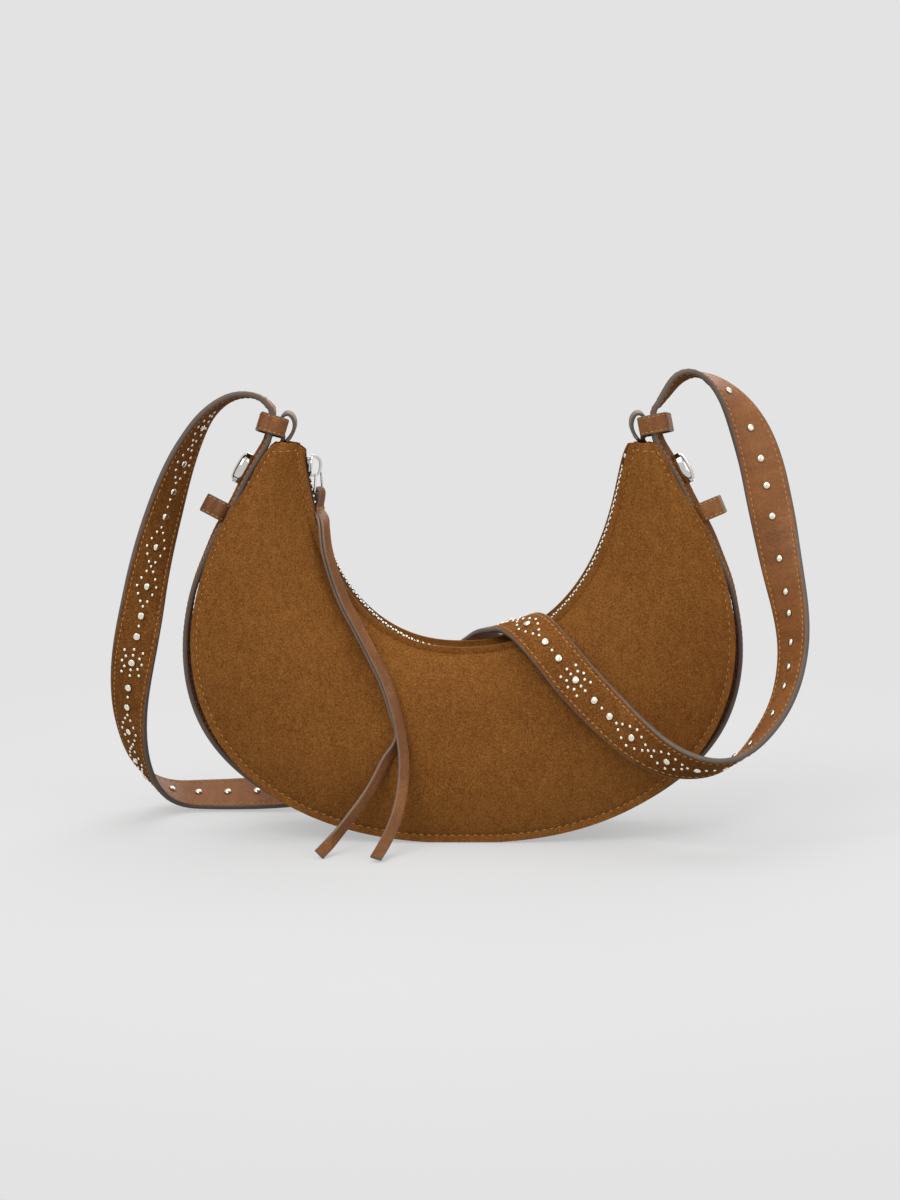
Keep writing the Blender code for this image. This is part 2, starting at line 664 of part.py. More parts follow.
def build_link(collection):
    """A four-sided ring of round wire that hangs in the arch."""
    pivot, bar = link_pivot(), link_bar_direction()
    down = Vector((0.0, 0.0, -1.0))
    corners = ((-link_top_width / 2, 0.0), (link_top_width / 2, 0.0),
               (link_bottom_width / 2, link_length), (-link_bottom_width / 2, link_length))
    round_share = 0.09
    points = []
    for k, (a, b) in enumerate(corners):
        before, after = corners[k - 1], corners[(k + 1) % 4]
        for other in (before, after):
            points.append((a + (other[0] - a) * round_share, b + (other[1] - b) * round_share))
    curve = bpy.data.curves.new("puller_link", "CURVE")
    curve.dimensions = "3D"
    curve.bevel_depth = link_wire / 2
    curve.bevel_resolution = 2
    spline = curve.splines.new("POLY")
    spline.points.add(len(points) - 1)
    for point, (a, b) in zip(spline.points, points):
        point.co = (*(bar * a + down * b), 1.0)
    spline.use_cyclic_u = True
    link = bpy.data.objects.new("puller_link", curve)
    collection.objects.link(link)
    link.location = pivot
    curve.materials.append(make_material("polished_nickel"))


def tail_stations(shares):
    """A tail's centre points, and the horizontal direction across its face."""
    size = np.array([bag_half_width, seam_half_depth, bag_height])
    centre = np.array([np.array(row[:3]) * size for row in shares])
    turns = np.radians([row[3] for row in shares])
    across = np.stack([np.cos(turns), -np.sin(turns), np.zeros(len(turns))], axis=1)
    return np.hstack([centre, across])


def thong_stations():
    """Stations of the whole thong: up the front tail, over the link's lower bar and down the back one."""
    bar = np.array(link_bar_direction())
    low = np.array(link_pivot()) + np.array([0.0, 0.0, -link_length])
    side = np.array([bar[1], -bar[0], 0.0])
    fold = link_wire / 2 + 2 * touch_gap + thong_thickness / 2
    turn = []
    for degrees in (0, 45, 90, 135, 180):
        angle = math.radians(degrees)
        place = low + side * fold * math.cos(angle) + np.array([0.0, 0.0, fold * math.sin(angle)])
        turn.append(np.concatenate([place, bar]))
    neck = thong_thickness / 2 + touch_gap
    drops = (thong_neck_length / 2, thong_neck_length)
    front_neck, back_neck = ([np.concatenate([low + side * sign * neck - np.array([0.0, 0.0, drop]), bar])
                              for drop in drops] for sign in (1, -1))
    front = tail_stations(front_tail_shares)
    direction = unit(np.gradient(front[:, :3], axis=0))
    behind = unit(np.cross(direction, front[:, 3:]))
    behind *= np.sign(behind[:, 1:2])
    shared = front[:shared_stations].copy()
    shared[:, :3] += behind[:shared_stations] * (thong_thickness + 2 * touch_gap)
    back = np.vstack([shared, tail_stations(back_tail_shares)])
    return np.vstack([front[::-1], front_neck[::-1], turn, back_neck, back])


def build_thong(collection):
    """One long strip folded over the link's lower bar, with its two tails hanging in front of the bag."""
    line = smooth_through(thong_stations(), 2)
    centre, across, normal = line[:, :3], *strap_axes(line[:, :3], line[:, 3:])[1:]
    grid = np.stack([centre + across * thong_width / 2, centre - across * thong_width / 2])
    part = sheet_object("puller_thong", grid, thong_thickness, "smooth_leather", collection)
    part.modifiers["thickness"].offset = 0.0


def smooth_table(places, table):
    """Values between the rows of a table, eased in and out at each row."""
    xs, ys = np.array(table).T
    k = np.clip(np.searchsorted(xs, places, side="right") - 1, 0, len(xs) - 2)
    t = np.clip((places - xs[k]) / (xs[k + 1] - xs[k]), 0.0, 1.0)
    return ys[k] + (ys[k + 1] - ys[k]) * t * t * (3 - 2 * t)


def belt_line(count):
    """The belt's centre line in x and z, from inside the left top keeper to inside the right one."""
    outline = outer_outline(8 * count)
    way = np.abs(np.linspace(-1.0, 1.0, len(outline)))
    distance = smooth_table(way, belt_distance_shares) * belt_swell
    direction = unit(np.gradient(outline, axis=0))
    outward = np.stack([direction[:, 1], -direction[:, 0]], axis=1)
    line = outline + outward * distance[:, None]
    line[:, 1] = np.maximum(line[:, 1], strap_thickness / 2)
    lean = math.radians(keeper_lean_degrees)
    rise = np.array([math.sin(lean), math.cos(lean)])
    mirror = np.array([-1.0, 1.0])
    rows = [rise * top_keeper_gap, rise * (top_keeper_gap + keeper_height / 4),
            rise * (top_keeper_gap + keeper_height / 2)]
    left = [line[0] + row for row in rows[::-1]]
    right = [line[-1] + row * mirror for row in rows]
    return resample(np.vstack([left, line, right]), count)


def strap_axes(centre, across):
    """Unit directions along, across and out of the suede face."""
    direction = unit(np.gradient(centre, axis=0))
    across = unit(across - direction * np.sum(across * direction, axis=1, keepdims=True))
    return direction, across, np.cross(direction, across)


def belt_path(count):
    """Centre points and width directions of the belt, with the suede face outwards."""
    line = belt_line(count)
    centre = np.column_stack([line[:, 0], np.zeros(count), line[:, 1]])
    across = np.tile([0.0, -1.0, 0.0], (count, 1))
    return centre, across


def shoulder_path():
    """Centre points and width directions of the shoulder strap, from the left keeper to the right one."""
    size = np.array([bag_half_width, seam_half_depth, bag_height])
    belt, _ = belt_path(61)
    start, end = belt[0], belt[-1]
    left_way, right_way = unit(belt[0] - belt[1]), unit(belt[-1] - belt[-2])
    leads = (touch_gap, keeper_height / 4, keeper_height / 2 + keeper_thickness)
    rows = [np.concatenate([start + left_way * lead, [0, 1, 0]]) for lead in leads]
    for x, y, z, across in shoulder_route_shares:
        rows.append(np.concatenate([np.array([x, y, z]) * size, across]))
    rows += [np.concatenate([end + right_way * lead, [0, 1, 0]]) for lead in leads[::-1]]
    line = smooth_through(np.array(rows), 6)
    along = lengths_along(line[:, :3])
    length = along[-1]
    near_end = np.arange(0.0, strap_fine_reach, strap_step / 3)
    middle = np.linspace(strap_fine_reach, length - strap_fine_reach, int(round(length / strap_step)))
    places = np.concatenate([near_end, middle, length - near_end[::-1]])
    line = np.stack([np.interp(places, along, line[:, k]) for k in range(6)], axis=1)
    return line[:, :3], line[:, 3:]


def strap_layers(name, centre, across, collection):
    """The suede face and the leather lining of a stretch of strap."""
    _, across, normal = strap_axes(centre, across)
    half = across * strap_width / 2
    split = strap_thickness / 2 - strap_face_thickness
    face_base = centre + normal * split
    lining_base = centre + normal * (split - touch_gap)
    face = sheet_object(name + "_face", np.stack([face_base + half, face_base - half]),
                        strap_face_thickness, "strap_suede", collection)
    lining = sheet_object(name + "_lining", np.stack([lining_base + half, lining_base - half]),
                          -strap_lining_thickness, "smooth_leather", collection)
    return face, lining


def build_straps(collection):
    centre, across = belt_path(61)
    face, lining = strap_layers("belt", centre, across, collection)
    strap_layers("shoulder_strap", *shoulder_path(), collection)
    return face, lining


def belt_frame(height, side, level):
    """Axes on the belt at a height: x along the belt, y across it, z out of its suede face."""
    count = 241
    centre, across = belt_path(count)
    half = slice(0, count // 2) if side < 0 else slice(count // 2, count)
    along, across, normal = strap_axes(centre, across)
    k = np.argmin(np.abs(centre[half, 2] - height)) + half.start
    frame = Matrix((Vector(along[k]), Vector(across[k]), Vector(normal[k]))).transposed().to_4x4()
    frame.translation = Vector(centre[k] + normal[k] * level)
    return frame


def dome_mesh(name, half_length, half_width, rise, rings, count):
    """A low oval dome over z = 0, with its flat underside there."""
    shape = bmesh.new()
    bmesh.ops.create_uvsphere(shape, u_segments=count, v_segments=rings, radius=1.0)
    low = [v for v in shape.verts if v.co.z < -1e-6]
    bmesh.ops.delete(shape, geom=low, context="VERTS")
    bmesh.ops.contextual_create(shape, geom=[e for e in shape.edges if e.is_boundary])
    bmesh.ops.transform(shape, matrix=Matrix.Diagonal((half_length, half_width, rise, 1.0)), verts=shape.verts)
    bmesh.ops.recalc_face_normals(shape, faces=shape.faces)
    mesh = bpy.data.meshes.new(name)
    shape.to_mesh(mesh)
    shape.free()
    return mesh


def cylinder_mesh(name, radius, low, high, frame, count):
    shape = bmesh.new()
    place = frame @ Matrix.Translation((0.0, 0.0, (low + high) / 2))
    bmesh.ops.create_cone(shape, cap_ends=True, segments=count, radius1=radius, radius2=radius,
                          depth=high - low, matrix=place)
    mesh = bpy.data.meshes.new(name)
    shape.to_mesh(mesh)
    shape.free()
    return mesh


def build_oval_studs(collection, tools, belt_layers):
    """An oval domed stud on each flank of the belt, its post through both layers, and its back disc."""
    outside = strap_thickness / 2 + touch_gap
    inside = -strap_thickness / 2 - touch_gap
    for side_name, side in (("left", -1), ("right", 1)):
        frame = belt_frame(oval_stud_height, side, 0.0)
        dome = dome_mesh("oval_stud_" + side_name, oval_stud_length / 2, oval_stud_width / 2,
                         oval_stud_rise, 8, 16)
        dome.transform(frame @ Matrix.Translation((0.0, 0.0, outside)))
        stud = add_object("oval_stud_" + side_name, dome, "polished_nickel", collection)
        end = inside - stud_back_thickness - touch_gap
        post = cylinder_mesh("post", stud_post_radius, end, outside + oval_stud_rise / 4, frame, 8)
        join_solid(stud, post, tools, "UNION")
        disc = cylinder_mesh("stud_back_" + side_name, stud_back_radius, inside - stud_back_thickness,
                             inside, frame, 12)
        back = add_object("stud_back_" + side_name, disc, "polished_nickel", collection)
        hole_radius = stud_post_radius + touch_gap
        reach = strap_thickness + stud_back_thickness + cut_overrun
        for layer in (*belt_layers, back):
            hole = cylinder_mesh("hole_" + side_name, hole_radius, -reach, strap_thickness, frame, 8)
            join_solid(layer, hole, tools, "DIFFERENCE")


def rounded_ring(length, depth, corner, count):
    """Points of a rounded rectangle in two directions."""
    points = []
    for k, (a, b) in enumerate(((1, 1), (-1, 1), (-1, -1), (1, -1))):
        for t in np.linspace(0.0, 1.0, count):
            angle = math.pi / 2 * (k + t)
            points.append((a * (length / 2 - corner) + corner * math.cos(angle),
                           b * (depth / 2 - corner) + corner * math.sin(angle)))
    return points


def keeper_object(name, frame, reach, shift, collection):
    """A leather ring round the strap: a rounded outline along the strap's thickness and width."""
    depth = strap_width + 2 * (strap_slack_in_keeper + keeper_thickness)
    outline = rounded_ring(reach, depth, keeper_thickness * 1.6, 4)
    half = keeper_height / 2
    rows = []
    for level in (-half, half):
        rows.append([frame @ Vector((level, b, a + shift)) for a, b in outline + outline[:1]])
    grid = np.array(rows, float)
    shape = bmesh.new()
    count = len(outline)
    verts = [[shape.verts.new(grid[i, j]) for j in range(count)] for i in range(2)]
    for j in range(count):
        after = (j + 1) % count
        shape.faces.new((verts[0][j], verts[0][after], verts[1][after], verts[1][j]))
    bmesh.ops.recalc_face_normals(shape, faces=shape.faces)
    mesh = bpy.data.meshes.new(name)
    shape.to_mesh(mesh)
    shape.free()
    part = add_object(name, mesh, "smooth_leather", collection)
    solid = part.modifiers.new("thickness", "SOLIDIFY")
    solid.thickness = keeper_thickness
    solid.offset = -1.0
    solid.use_even_offset = True
    return part


def top_keeper_frame(side):
    """Axes in the middle of a top keeper, where the belt ends."""
    centre, across = belt_path(61)
    along, across, normal = strap_axes(centre, across)
    k = 0 if side < 0 else -1
    frame = Matrix((Vector(along[k]), Vector(across[k]), Vector(normal[k]))).transposed().to_4x4()
    frame.translation = Vector(centre[k])
    return frame


def build_keepers(collection):
    for side_name, side in (("left", -1), ("right", 1)):
        outer_face = strap_thickness / 2 + strap_slack_in_keeper + keeper_thickness
        frame = top_keeper_frame(side)
        keeper_object("top_keeper_" + side_name, frame, top_keeper_reach,
                      outer_face - top_keeper_reach / 2, collection)
        frame = belt_frame(side_keeper_height, side, 0.0)
        seat = belt_seat_depth(side)
        keeper_object("side_keeper_" + side_name, frame, side_keeper_reach,
                      side_keeper_reach / 2 - seat, collection)


def belt_seat_depth(side):
    """Distance from the belt's centre line at the side keeper to the gusset under it."""
    frame = belt_frame(side_keeper_height, side, 0.0)
    place = np.array([frame.translation.x, frame.translation.z])
    line = inset_outline(400, gusset_inset)
    return np.linalg.norm(line - place, axis=1).min() - touch_gap


def build_tip_loops(collection):
    """A folded leather tab stands in each tip and holds the top keeper's inner side."""
    for side_name, side in (("left", -1), ("right", 1)):
        frame = top_keeper_frame(side)
        points = [np.array(frame @ Vector((side * rise * keeper_height, 0.0, -inner * top_keeper_reach)))
                  for inner, rise in tip_loop_shares]
        tip_middle = side * (tip_outer_half_width + mouth_outline(3)[-1, 0]) / 2
        apart = (tip_loop_thickness + touch_gap) / 2
        low = bag_height - gusset_inset + 2 * touch_gap + tip_loop_thickness / 2
        feet = [np.array([tip_middle + side * shift, 0.0, low]) for shift in (apart, -apart)]
        line = smooth_through(np.vstack([feet[0], points, feet[1]]), 2)
        depth = np.full(len(line), tip_loop_width / 2)
        part = sheet_object("tip_loop_" + side_name, band_along(line[:, [0, 2]], depth),
                            tip_loop_thickness, "edge_leather", collection)
        part.modifiers["thickness"].offset = 0.0


def build():
    clear_scene()
    bag = make_collection("shoulder_bag")
    tools = make_collection("cutters")
    build_panels(bag)
    build_linings(bag)
    build_gussets(bag)
    build_mouth(bag)
    build_teeth(bag)
    build_stops(bag)
    build_slider(bag, tools)
    build_link(bag)
    build_thong(bag)
    belt_layers = build_straps(bag)
    build_oval_studs(bag, tools, belt_layers)
    build_keepers(bag)
    build_tip_loops(bag)


build()
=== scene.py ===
import math

import bmesh
import bpy
import numpy as np
from mathutils import Matrix, Vector, noise


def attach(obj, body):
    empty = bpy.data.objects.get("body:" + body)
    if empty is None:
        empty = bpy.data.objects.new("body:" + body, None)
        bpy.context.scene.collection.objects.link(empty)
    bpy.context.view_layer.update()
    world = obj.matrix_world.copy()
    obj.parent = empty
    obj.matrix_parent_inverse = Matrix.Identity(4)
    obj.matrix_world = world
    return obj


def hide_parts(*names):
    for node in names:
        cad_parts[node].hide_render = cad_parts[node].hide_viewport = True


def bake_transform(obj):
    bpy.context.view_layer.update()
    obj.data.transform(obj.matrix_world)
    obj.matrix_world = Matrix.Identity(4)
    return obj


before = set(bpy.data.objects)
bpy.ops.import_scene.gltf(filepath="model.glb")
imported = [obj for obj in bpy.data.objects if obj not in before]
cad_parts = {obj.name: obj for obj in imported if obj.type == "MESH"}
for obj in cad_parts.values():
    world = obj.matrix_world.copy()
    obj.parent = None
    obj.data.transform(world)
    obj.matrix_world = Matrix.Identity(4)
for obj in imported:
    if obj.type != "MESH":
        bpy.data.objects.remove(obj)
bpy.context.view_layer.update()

bpy.ops.object.select_all(action="DESELECT")
scene = bpy.context.scene

# ---- materials: a small class so that shader sums read as plain maths


class Flow:
    def __init__(self, tree, socket):
        self.tree, self.socket = tree, socket

    def sum(self, operation, other, swap=False):
        node = self.tree.nodes.new("ShaderNodeMath")
        node.operation = operation
        values = [other, self] if swap else [self, other]
        for socket, value in zip(node.inputs, values):
            if isinstance(value, Flow):
                self.tree.links.new(value.socket, socket)
            elif value is not None:
                socket.default_value = value
        return Flow(self.tree, node.outputs[0])

    def __add__(self, other): return self.sum("ADD", other)
    def __radd__(self, other): return self.sum("ADD", other)
    def __sub__(self, other): return self.sum("SUBTRACT", other)
    def __rsub__(self, other): return self.sum("SUBTRACT", other, True)
    def __mul__(self, other): return self.sum("MULTIPLY", other)
    def __rmul__(self, other): return self.sum("MULTIPLY", other)
    def sine(self): return self.sum("SINE", None)


class Finish:
    # one material with its Principled shader, and one method that adds any other node
    def __init__(self, name, **constants):
        self.material = bpy.data.materials.new(name)
        self.material.use_nodes = True
        self.tree = self.material.node_tree
        self.shader = self.tree.nodes["Principled BSDF"]
        for key, value in constants.items():
            self.put(self.shader, key, value)

    def put(self, node, key, value):
        socket = node.inputs[key] if isinstance(key, int) else node.inputs[key.replace("_", " ")]
        if isinstance(value, Flow):
            self.tree.links.new(value.socket, socket)
        elif isinstance(value, tuple) and len(value) == 3 and socket.type == "RGBA":
            socket.default_value = (*value, 1.0)
        else:
            socket.default_value = value

    def add(self, kind, settings=None, output=0, **inputs):
        node = self.tree.nodes.new(kind)
        for key, value in (settings or {}).items():
            if key == "stops":
                ramp = node.color_ramp
                while len(ramp.elements) < len(value):
                    ramp.elements.new(0.5)
                for element, (place, shade) in zip(ramp.elements, value):
                    element.position = place
                    element.color = (shade, shade, shade, 1) if isinstance(shade, float) else (*shade, 1)
            else:
                setattr(node, key, value)
        for key, value in inputs.items():
            self.put(node, int(key[2:]) if key.startswith("at") else key, value)
        return Flow(self.tree, node.outputs[output])

    def place(self, turn=(0, 0, 0), scale=(1, 1, 1)):
        where = self.add("ShaderNodeTexCoord", output="Object")
        return self.add("ShaderNodeMapping", Vector=where, Rotation=turn, Scale=scale)

    def onSurface(self, name="Band", scale=(1, 1, 1)):
        where = self.add("ShaderNodeUVMap", {"uv_map": name})
        return self.add("ShaderNodeMapping", Vector=where, Scale=scale)

    def mottle(self, where, scale, detail=3.0, roughness=0.55):
        return self.add("ShaderNodeTexNoise", Vector=where, Scale=scale, Detail=detail, Roughness=roughness)

    def cells(self, where, scale, feature="F1"):
        return self.add("ShaderNodeTexVoronoi", {"feature": feature}, Vector=where, Scale=scale)

    def blend(self, share, first, second):
        return self.add("ShaderNodeMix", {"data_type": "RGBA"}, 2, at0=share, at6=first, at7=second)

    def bump(self, height, strength, distance):
        bumped = self.add("ShaderNodeBump", Height=height, Strength=strength, Distance=distance)
        self.put(self.shader, "Normal", bumped)

    def use(self, **sockets):
        for key, value in sockets.items():
            self.put(self.shader, key, value)
        return self.material


def fromScreen(red, green, blue):
    # a colour as the eye reads it from a picture, turned into light values
    return tuple(v / 12.92 if v <= 0.04045 else ((v + 0.055) / 1.055) ** 2.4
                 for v in (red / 255, green / 255, blue / 255))


suedeLook = {"body": fromScreen(134, 84, 35), "light": fromScreen(168, 112, 56), "dark": fromScreen(100, 58, 22),
             "fleck": 1150, "patch": 20, "nap": 300}


def suede(name, look):
    finish = Finish(name, Metallic=0.0, Specular_IOR_Level=0.12, Sheen_Weight=0.04, Sheen_Roughness=0.55,
                    Sheen_Tint=(*look["light"], 1.0))
    where = finish.place()
    patches = finish.mottle(where, look["patch"], 4.0, 0.6)
    brushed = finish.mottle(finish.place(scale=(1, 1, 0.45)), look["nap"], 3.0, 0.6)
    flecks = finish.mottle(where, look["fleck"], 2.0, 0.7)
    fibres = finish.mottle(where, look["fleck"] * 2.6, 2.0, 0.6)
    shade = (patches - 0.5) * 0.40 + (brushed - 0.5) * 0.40 + (flecks - 0.5) * 1.5 + (fibres - 0.5) * 0.8
    ramp = finish.add("ShaderNodeValToRGB", {"stops": [(0.12, look["dark"]), (0.5, look["body"]),
                                                       (0.9, look["light"])]}, Fac=shade + 0.5)
    finish.bump(flecks * 0.6 + fibres * 0.5 + brushed * 0.4, 0.45, 0.0006)
    return finish.use(Base_Color=ramp, Roughness=0.90 + (patches - 0.5) * 0.12)


leatherLook = {"body": fromScreen(143, 90, 47), "light": fromScreen(168, 112, 64), "dark": fromScreen(108, 64, 30),
               "grain": 900, "crease": 120, "roughness": 0.50}


def leather(name, look, surface=False):
    finish = Finish(name, Metallic=0.0, Specular_IOR_Level=0.30)
    where = finish.onSurface() if surface else finish.place()
    pebbles = finish.cells(where, look["grain"], "SMOOTH_F1")
    pores = finish.mottle(where, look["grain"] * 2.2, 2.0)
    stretched = finish.onSurface(scale=(1, 0.22, 1)) if surface else finish.place(scale=(1, 1, 0.5))
    creases = finish.mottle(stretched, look["crease"], 3.0, 0.6)
    tone = finish.mottle(where, 32, 3.0)
    shade = (tone - 0.5) * 0.7 + (creases - 0.5) * 0.6 + (pebbles - 0.45) * 0.35 + 0.5
    ramp = finish.add("ShaderNodeValToRGB", {"stops": [(0.15, look["dark"]), (0.5, look["body"]),
                                                       (0.88, look["light"])]}, Fac=shade)
    finish.bump(pebbles * 0.55 + creases * 0.8 + pores * 0.2, 0.35, 0.0005)
    return finish.use(Base_Color=ramp, Roughness=look["roughness"] + (tone - 0.5) * 0.2 + (pebbles - 0.5) * 0.1)


def edgePaint(name, body, light):
    finish = Finish(name, Metallic=0.0, Specular_IOR_Level=0.4)
    where = finish.place()
    ripple = finish.mottle(where, 420, 2.0)
    tone = finish.mottle(where, 60, 3.0)
    finish.bump(ripple, 0.25, 0.0004)
    return finish.use(Base_Color=finish.blend(tone, body, light), Roughness=0.48 + (ripple - 0.5) * 0.2)


def polished(name, body, roughness):
    finish = Finish(name, Metallic=1.0)
    where = finish.place()
    smudge = finish.mottle(where, 160, 3.0)
    hairlines = finish.mottle(finish.place(scale=(1, 1, 12)), 500, 2.0)
    finish.bump(hairlines, 0.04, 0.0002)
    dim = tuple(v * 0.86 for v in body)
    return finish.use(Base_Color=finish.blend(smudge, dim, body), Roughness=roughness + (smudge - 0.5) * 0.06)


def thread(name, body):
    finish = Finish(name, Metallic=0.0, Specular_IOR_Level=0.25, Sheen_Weight=0.2)
    where = finish.place(turn=(0.6, 0.5, 0.7))
    twist = finish.add("ShaderNodeTexWave", {"wave_type": "BANDS"}, Vector=where, Scale=900, Distortion=1.0)
    dark = tuple(v * 0.62 for v in body)
    finish.bump(twist, 0.5, 0.0002)
    return finish.use(Base_Color=finish.blend(twist, dark, body), Roughness=0.7)


def woven(name, body, dark, pitch):
    finish = Finish(name, Metallic=0.0, Specular_IOR_Level=0.2)
    where = finish.place(turn=(0.0, math.radians(45), 0.0))
    apart = finish.add("ShaderNodeSeparateXYZ", Vector=where)
    up = Flow(apart.tree, apart.socket.node.outputs[2])
    turns = 6.28 / pitch
    weave = (apart * turns).sine() * (up * turns).sine() * 0.5 + 0.5
    slub = finish.mottle(where, 300, 3.0)
    finish.bump(weave * 0.8 + slub * 0.4, 0.4, 0.0004)
    return finish.use(Base_Color=finish.blend(weave * 0.6 + slub * 0.4, dark, body), Roughness=0.85)


suedePanel = suede("suedePanel", suedeLook)
suedeStrap = suede("suedeStrap", dict(suedeLook, body=fromScreen(124, 76, 32), dark=fromScreen(88, 50, 19)))
liningLeather = leather("liningLeather", leatherLook, surface=True)
keeperLeather = leather("keeperLeather", dict(leatherLook, body=fromScreen(128, 79, 39),
                                              dark=fromScreen(94, 54, 25), grain=1100))
thongLeather = leather("thongLeather", dict(leatherLook, body=fromScreen(126, 79, 42), grain=1300, roughness=0.52))
darkEdge = edgePaint("darkEdge", fromScreen(84, 70, 60), fromScreen(118, 103, 91))
nickel = polished("nickel", (0.74, 0.72, 0.69), 0.09)
paleMetal = polished("paleMetal", (0.93, 0.87, 0.72), 0.18)
darkMetal = polished("darkMetal", (0.16, 0.14, 0.12), 0.38)
goldThread = thread("goldThread", fromScreen(218, 162, 96))
zipCloth = woven("zipCloth", fromScreen(98, 62, 34), fromScreen(62, 38, 20), 0.0008)
liningCloth = woven("liningCloth", fromScreen(184, 160, 128), fromScreen(150, 126, 98), 0.0007)


def crystalFinish():
    finish = Finish("crystal", Metallic=0.35, Coat_Weight=1.0, Coat_Roughness=0.02, Specular_IOR_Level=0.9)
    # the stones' colour is lighter towards the edges of small cells: painted sparkle that stands in for light caught
    # by their facets
    paintedSparkle = finish.cells(finish.place(), 1400)
    return finish.use(Base_Color=finish.blend(paintedSparkle, fromScreen(215, 205, 190), fromScreen(255, 252, 244)),
                      Roughness=0.04 + paintedSparkle * 0.05)


crystalGlass = crystalFinish()
print("materials made")

# ---- the bag's shape in metres, with the CAD model's own values

bag = {"halfWidth": 0.148, "height": 0.218, "widestHeight": 0.1115, "tipHalfWidth": 0.1047, "groundGap": 0.0005,
       "mouthHalfWidth": 0.0875, "mouthBottom": 0.1054, "mouthCrown": 0.240, "seamDepth": 0.028,
       "tipSeamDepth": 0.0132, "mouthDepth": 0.0104, "tipMouthDepth": 0.0110, "crown": 0.0125,
       "panelThickness": 0.0016, "gussetInset": 0.0027, "gussetThickness": 0.0014, "seamGap": 0.0005,
       "zipRadius": 0.0857, "zipHeight": 0.1885, "strapWidth": 0.0245, "strapThickness": 0.0029,
       # how square the outline is above and below its widest height, and along the mouth
       "upperRound": 1.65, "lowerRound": 2.25, "mouthRound": 2.3}
gap = 0.0003


def unit(vectors):
    return vectors / np.maximum(np.linalg.norm(vectors, axis=-1, keepdims=True), 1e-12)


def lengthsAlong(points):
    return np.concatenate(([0.0], np.cumsum(np.linalg.norm(np.diff(points[:, :3], axis=0), axis=1))))


def respaced(points, count):
    along = lengthsAlong(points)
    places = np.linspace(0.0, along[-1], count)
    return np.stack([np.interp(places, along, points[:, k]) for k in range(points.shape[1])], axis=1)


def smoothThrough(points, perSpan):
    points = np.asarray(points, float)
    spans = np.linalg.norm(np.diff(points[:, :3], axis=0), axis=1)[:, None]
    slopes = np.diff(points, axis=0) / spans
    inner = (slopes[:-1] * spans[1:] + slopes[1:] * spans[:-1]) / (spans[1:] + spans[:-1])
    tangents = np.vstack([slopes[:1], inner, slopes[-1:]])
    line = []
    for k, span in enumerate(spans):
        first, last = tangents[k] * span, tangents[k + 1] * span
        for t in np.linspace(0.0, 1.0, perSpan, endpoint=False):
            rest = 1 - t
            line.append(points[k] * rest**2 * (1 + 2 * t) + points[k + 1] * t**2 * (3 - 2 * t)
                        + first * t * rest**2 - last * t**2 * rest)
    line.append(points[-1])
    return np.array(line)


def eased(line, width, passes=1):
    # a running mean that keeps both ends
    for _ in range(passes):
        padded = np.vstack([2 * line[0] - line[width:0:-1], line, 2 * line[-1] - line[-2:-width - 2:-1]])
        sums = np.cumsum(np.vstack([np.zeros(line.shape[1]), padded]), axis=0)
        line = (sums[2 * width + 1:] - sums[:-2 * width - 1]) / (2 * width + 1)
    return line


def rounded(angles, halfWidth, halfHeight, roundness):
    across, rise = np.cos(angles), np.sin(angles)
    return np.stack([halfWidth * np.sign(across) * np.abs(across) ** (2 / roundness),
                     halfHeight * np.sign(rise) * np.abs(rise) ** (2 / roundness)], axis=1)


def outerOutline(count):
    reach, power = bag["tipHalfWidth"] / bag["halfWidth"], bag["upperRound"]
    upperRise = (bag["height"] - bag["widestHeight"]) / (1 - reach**power) ** (1 / power)
    tipAngle = math.acos(reach ** (power / 2))
    left = rounded(np.linspace(math.pi - tipAngle, math.pi, 400), bag["halfWidth"], upperRise, power)
    lower = rounded(np.linspace(math.pi, 2 * math.pi, 800), bag["halfWidth"], bag["widestHeight"],
                    bag["lowerRound"])
    line = np.vstack([left, lower[1:-1], left[::-1] * (-1, 1)])
    line[:, 1] = np.maximum(line[:, 1] + bag["widestHeight"], bag["groundGap"])
    return respaced(line, count)


def mouthOutline(count):
    drop = bag["mouthCrown"] - bag["mouthBottom"]
    level = (bag["height"] - bag["mouthCrown"]) / drop
    tipAngle = math.asin(abs(level) ** (bag["mouthRound"] / 2))
    line = rounded(np.linspace(math.pi + tipAngle, 2 * math.pi - tipAngle, 900), bag["mouthHalfWidth"], drop,
                   bag["mouthRound"])
    line[:, 1] += bag["mouthCrown"]
    return respaced(line, count)


def seamDepthAt(height):
    rise = np.clip(height / bag["height"], 0.0, 1.0)
    return bag["seamDepth"] - (bag["seamDepth"] - bag["tipSeamDepth"]) * rise**1.3


def mouthDepthAt(height):
    rise = np.clip((height - bag["mouthBottom"]) / (bag["height"] - bag["mouthBottom"]), 0.0, 1.0)
    return bag["mouthDepth"] - (bag["mouthDepth"] - bag["tipMouthDepth"]) * rise


def sideways(line, distance):
    # moved to the right of its own direction, in x and z
    way = unit(np.gradient(line, axis=0))
    return line + np.stack([way[:, 1], -way[:, 0]], axis=1) * np.reshape(distance, (-1, 1))


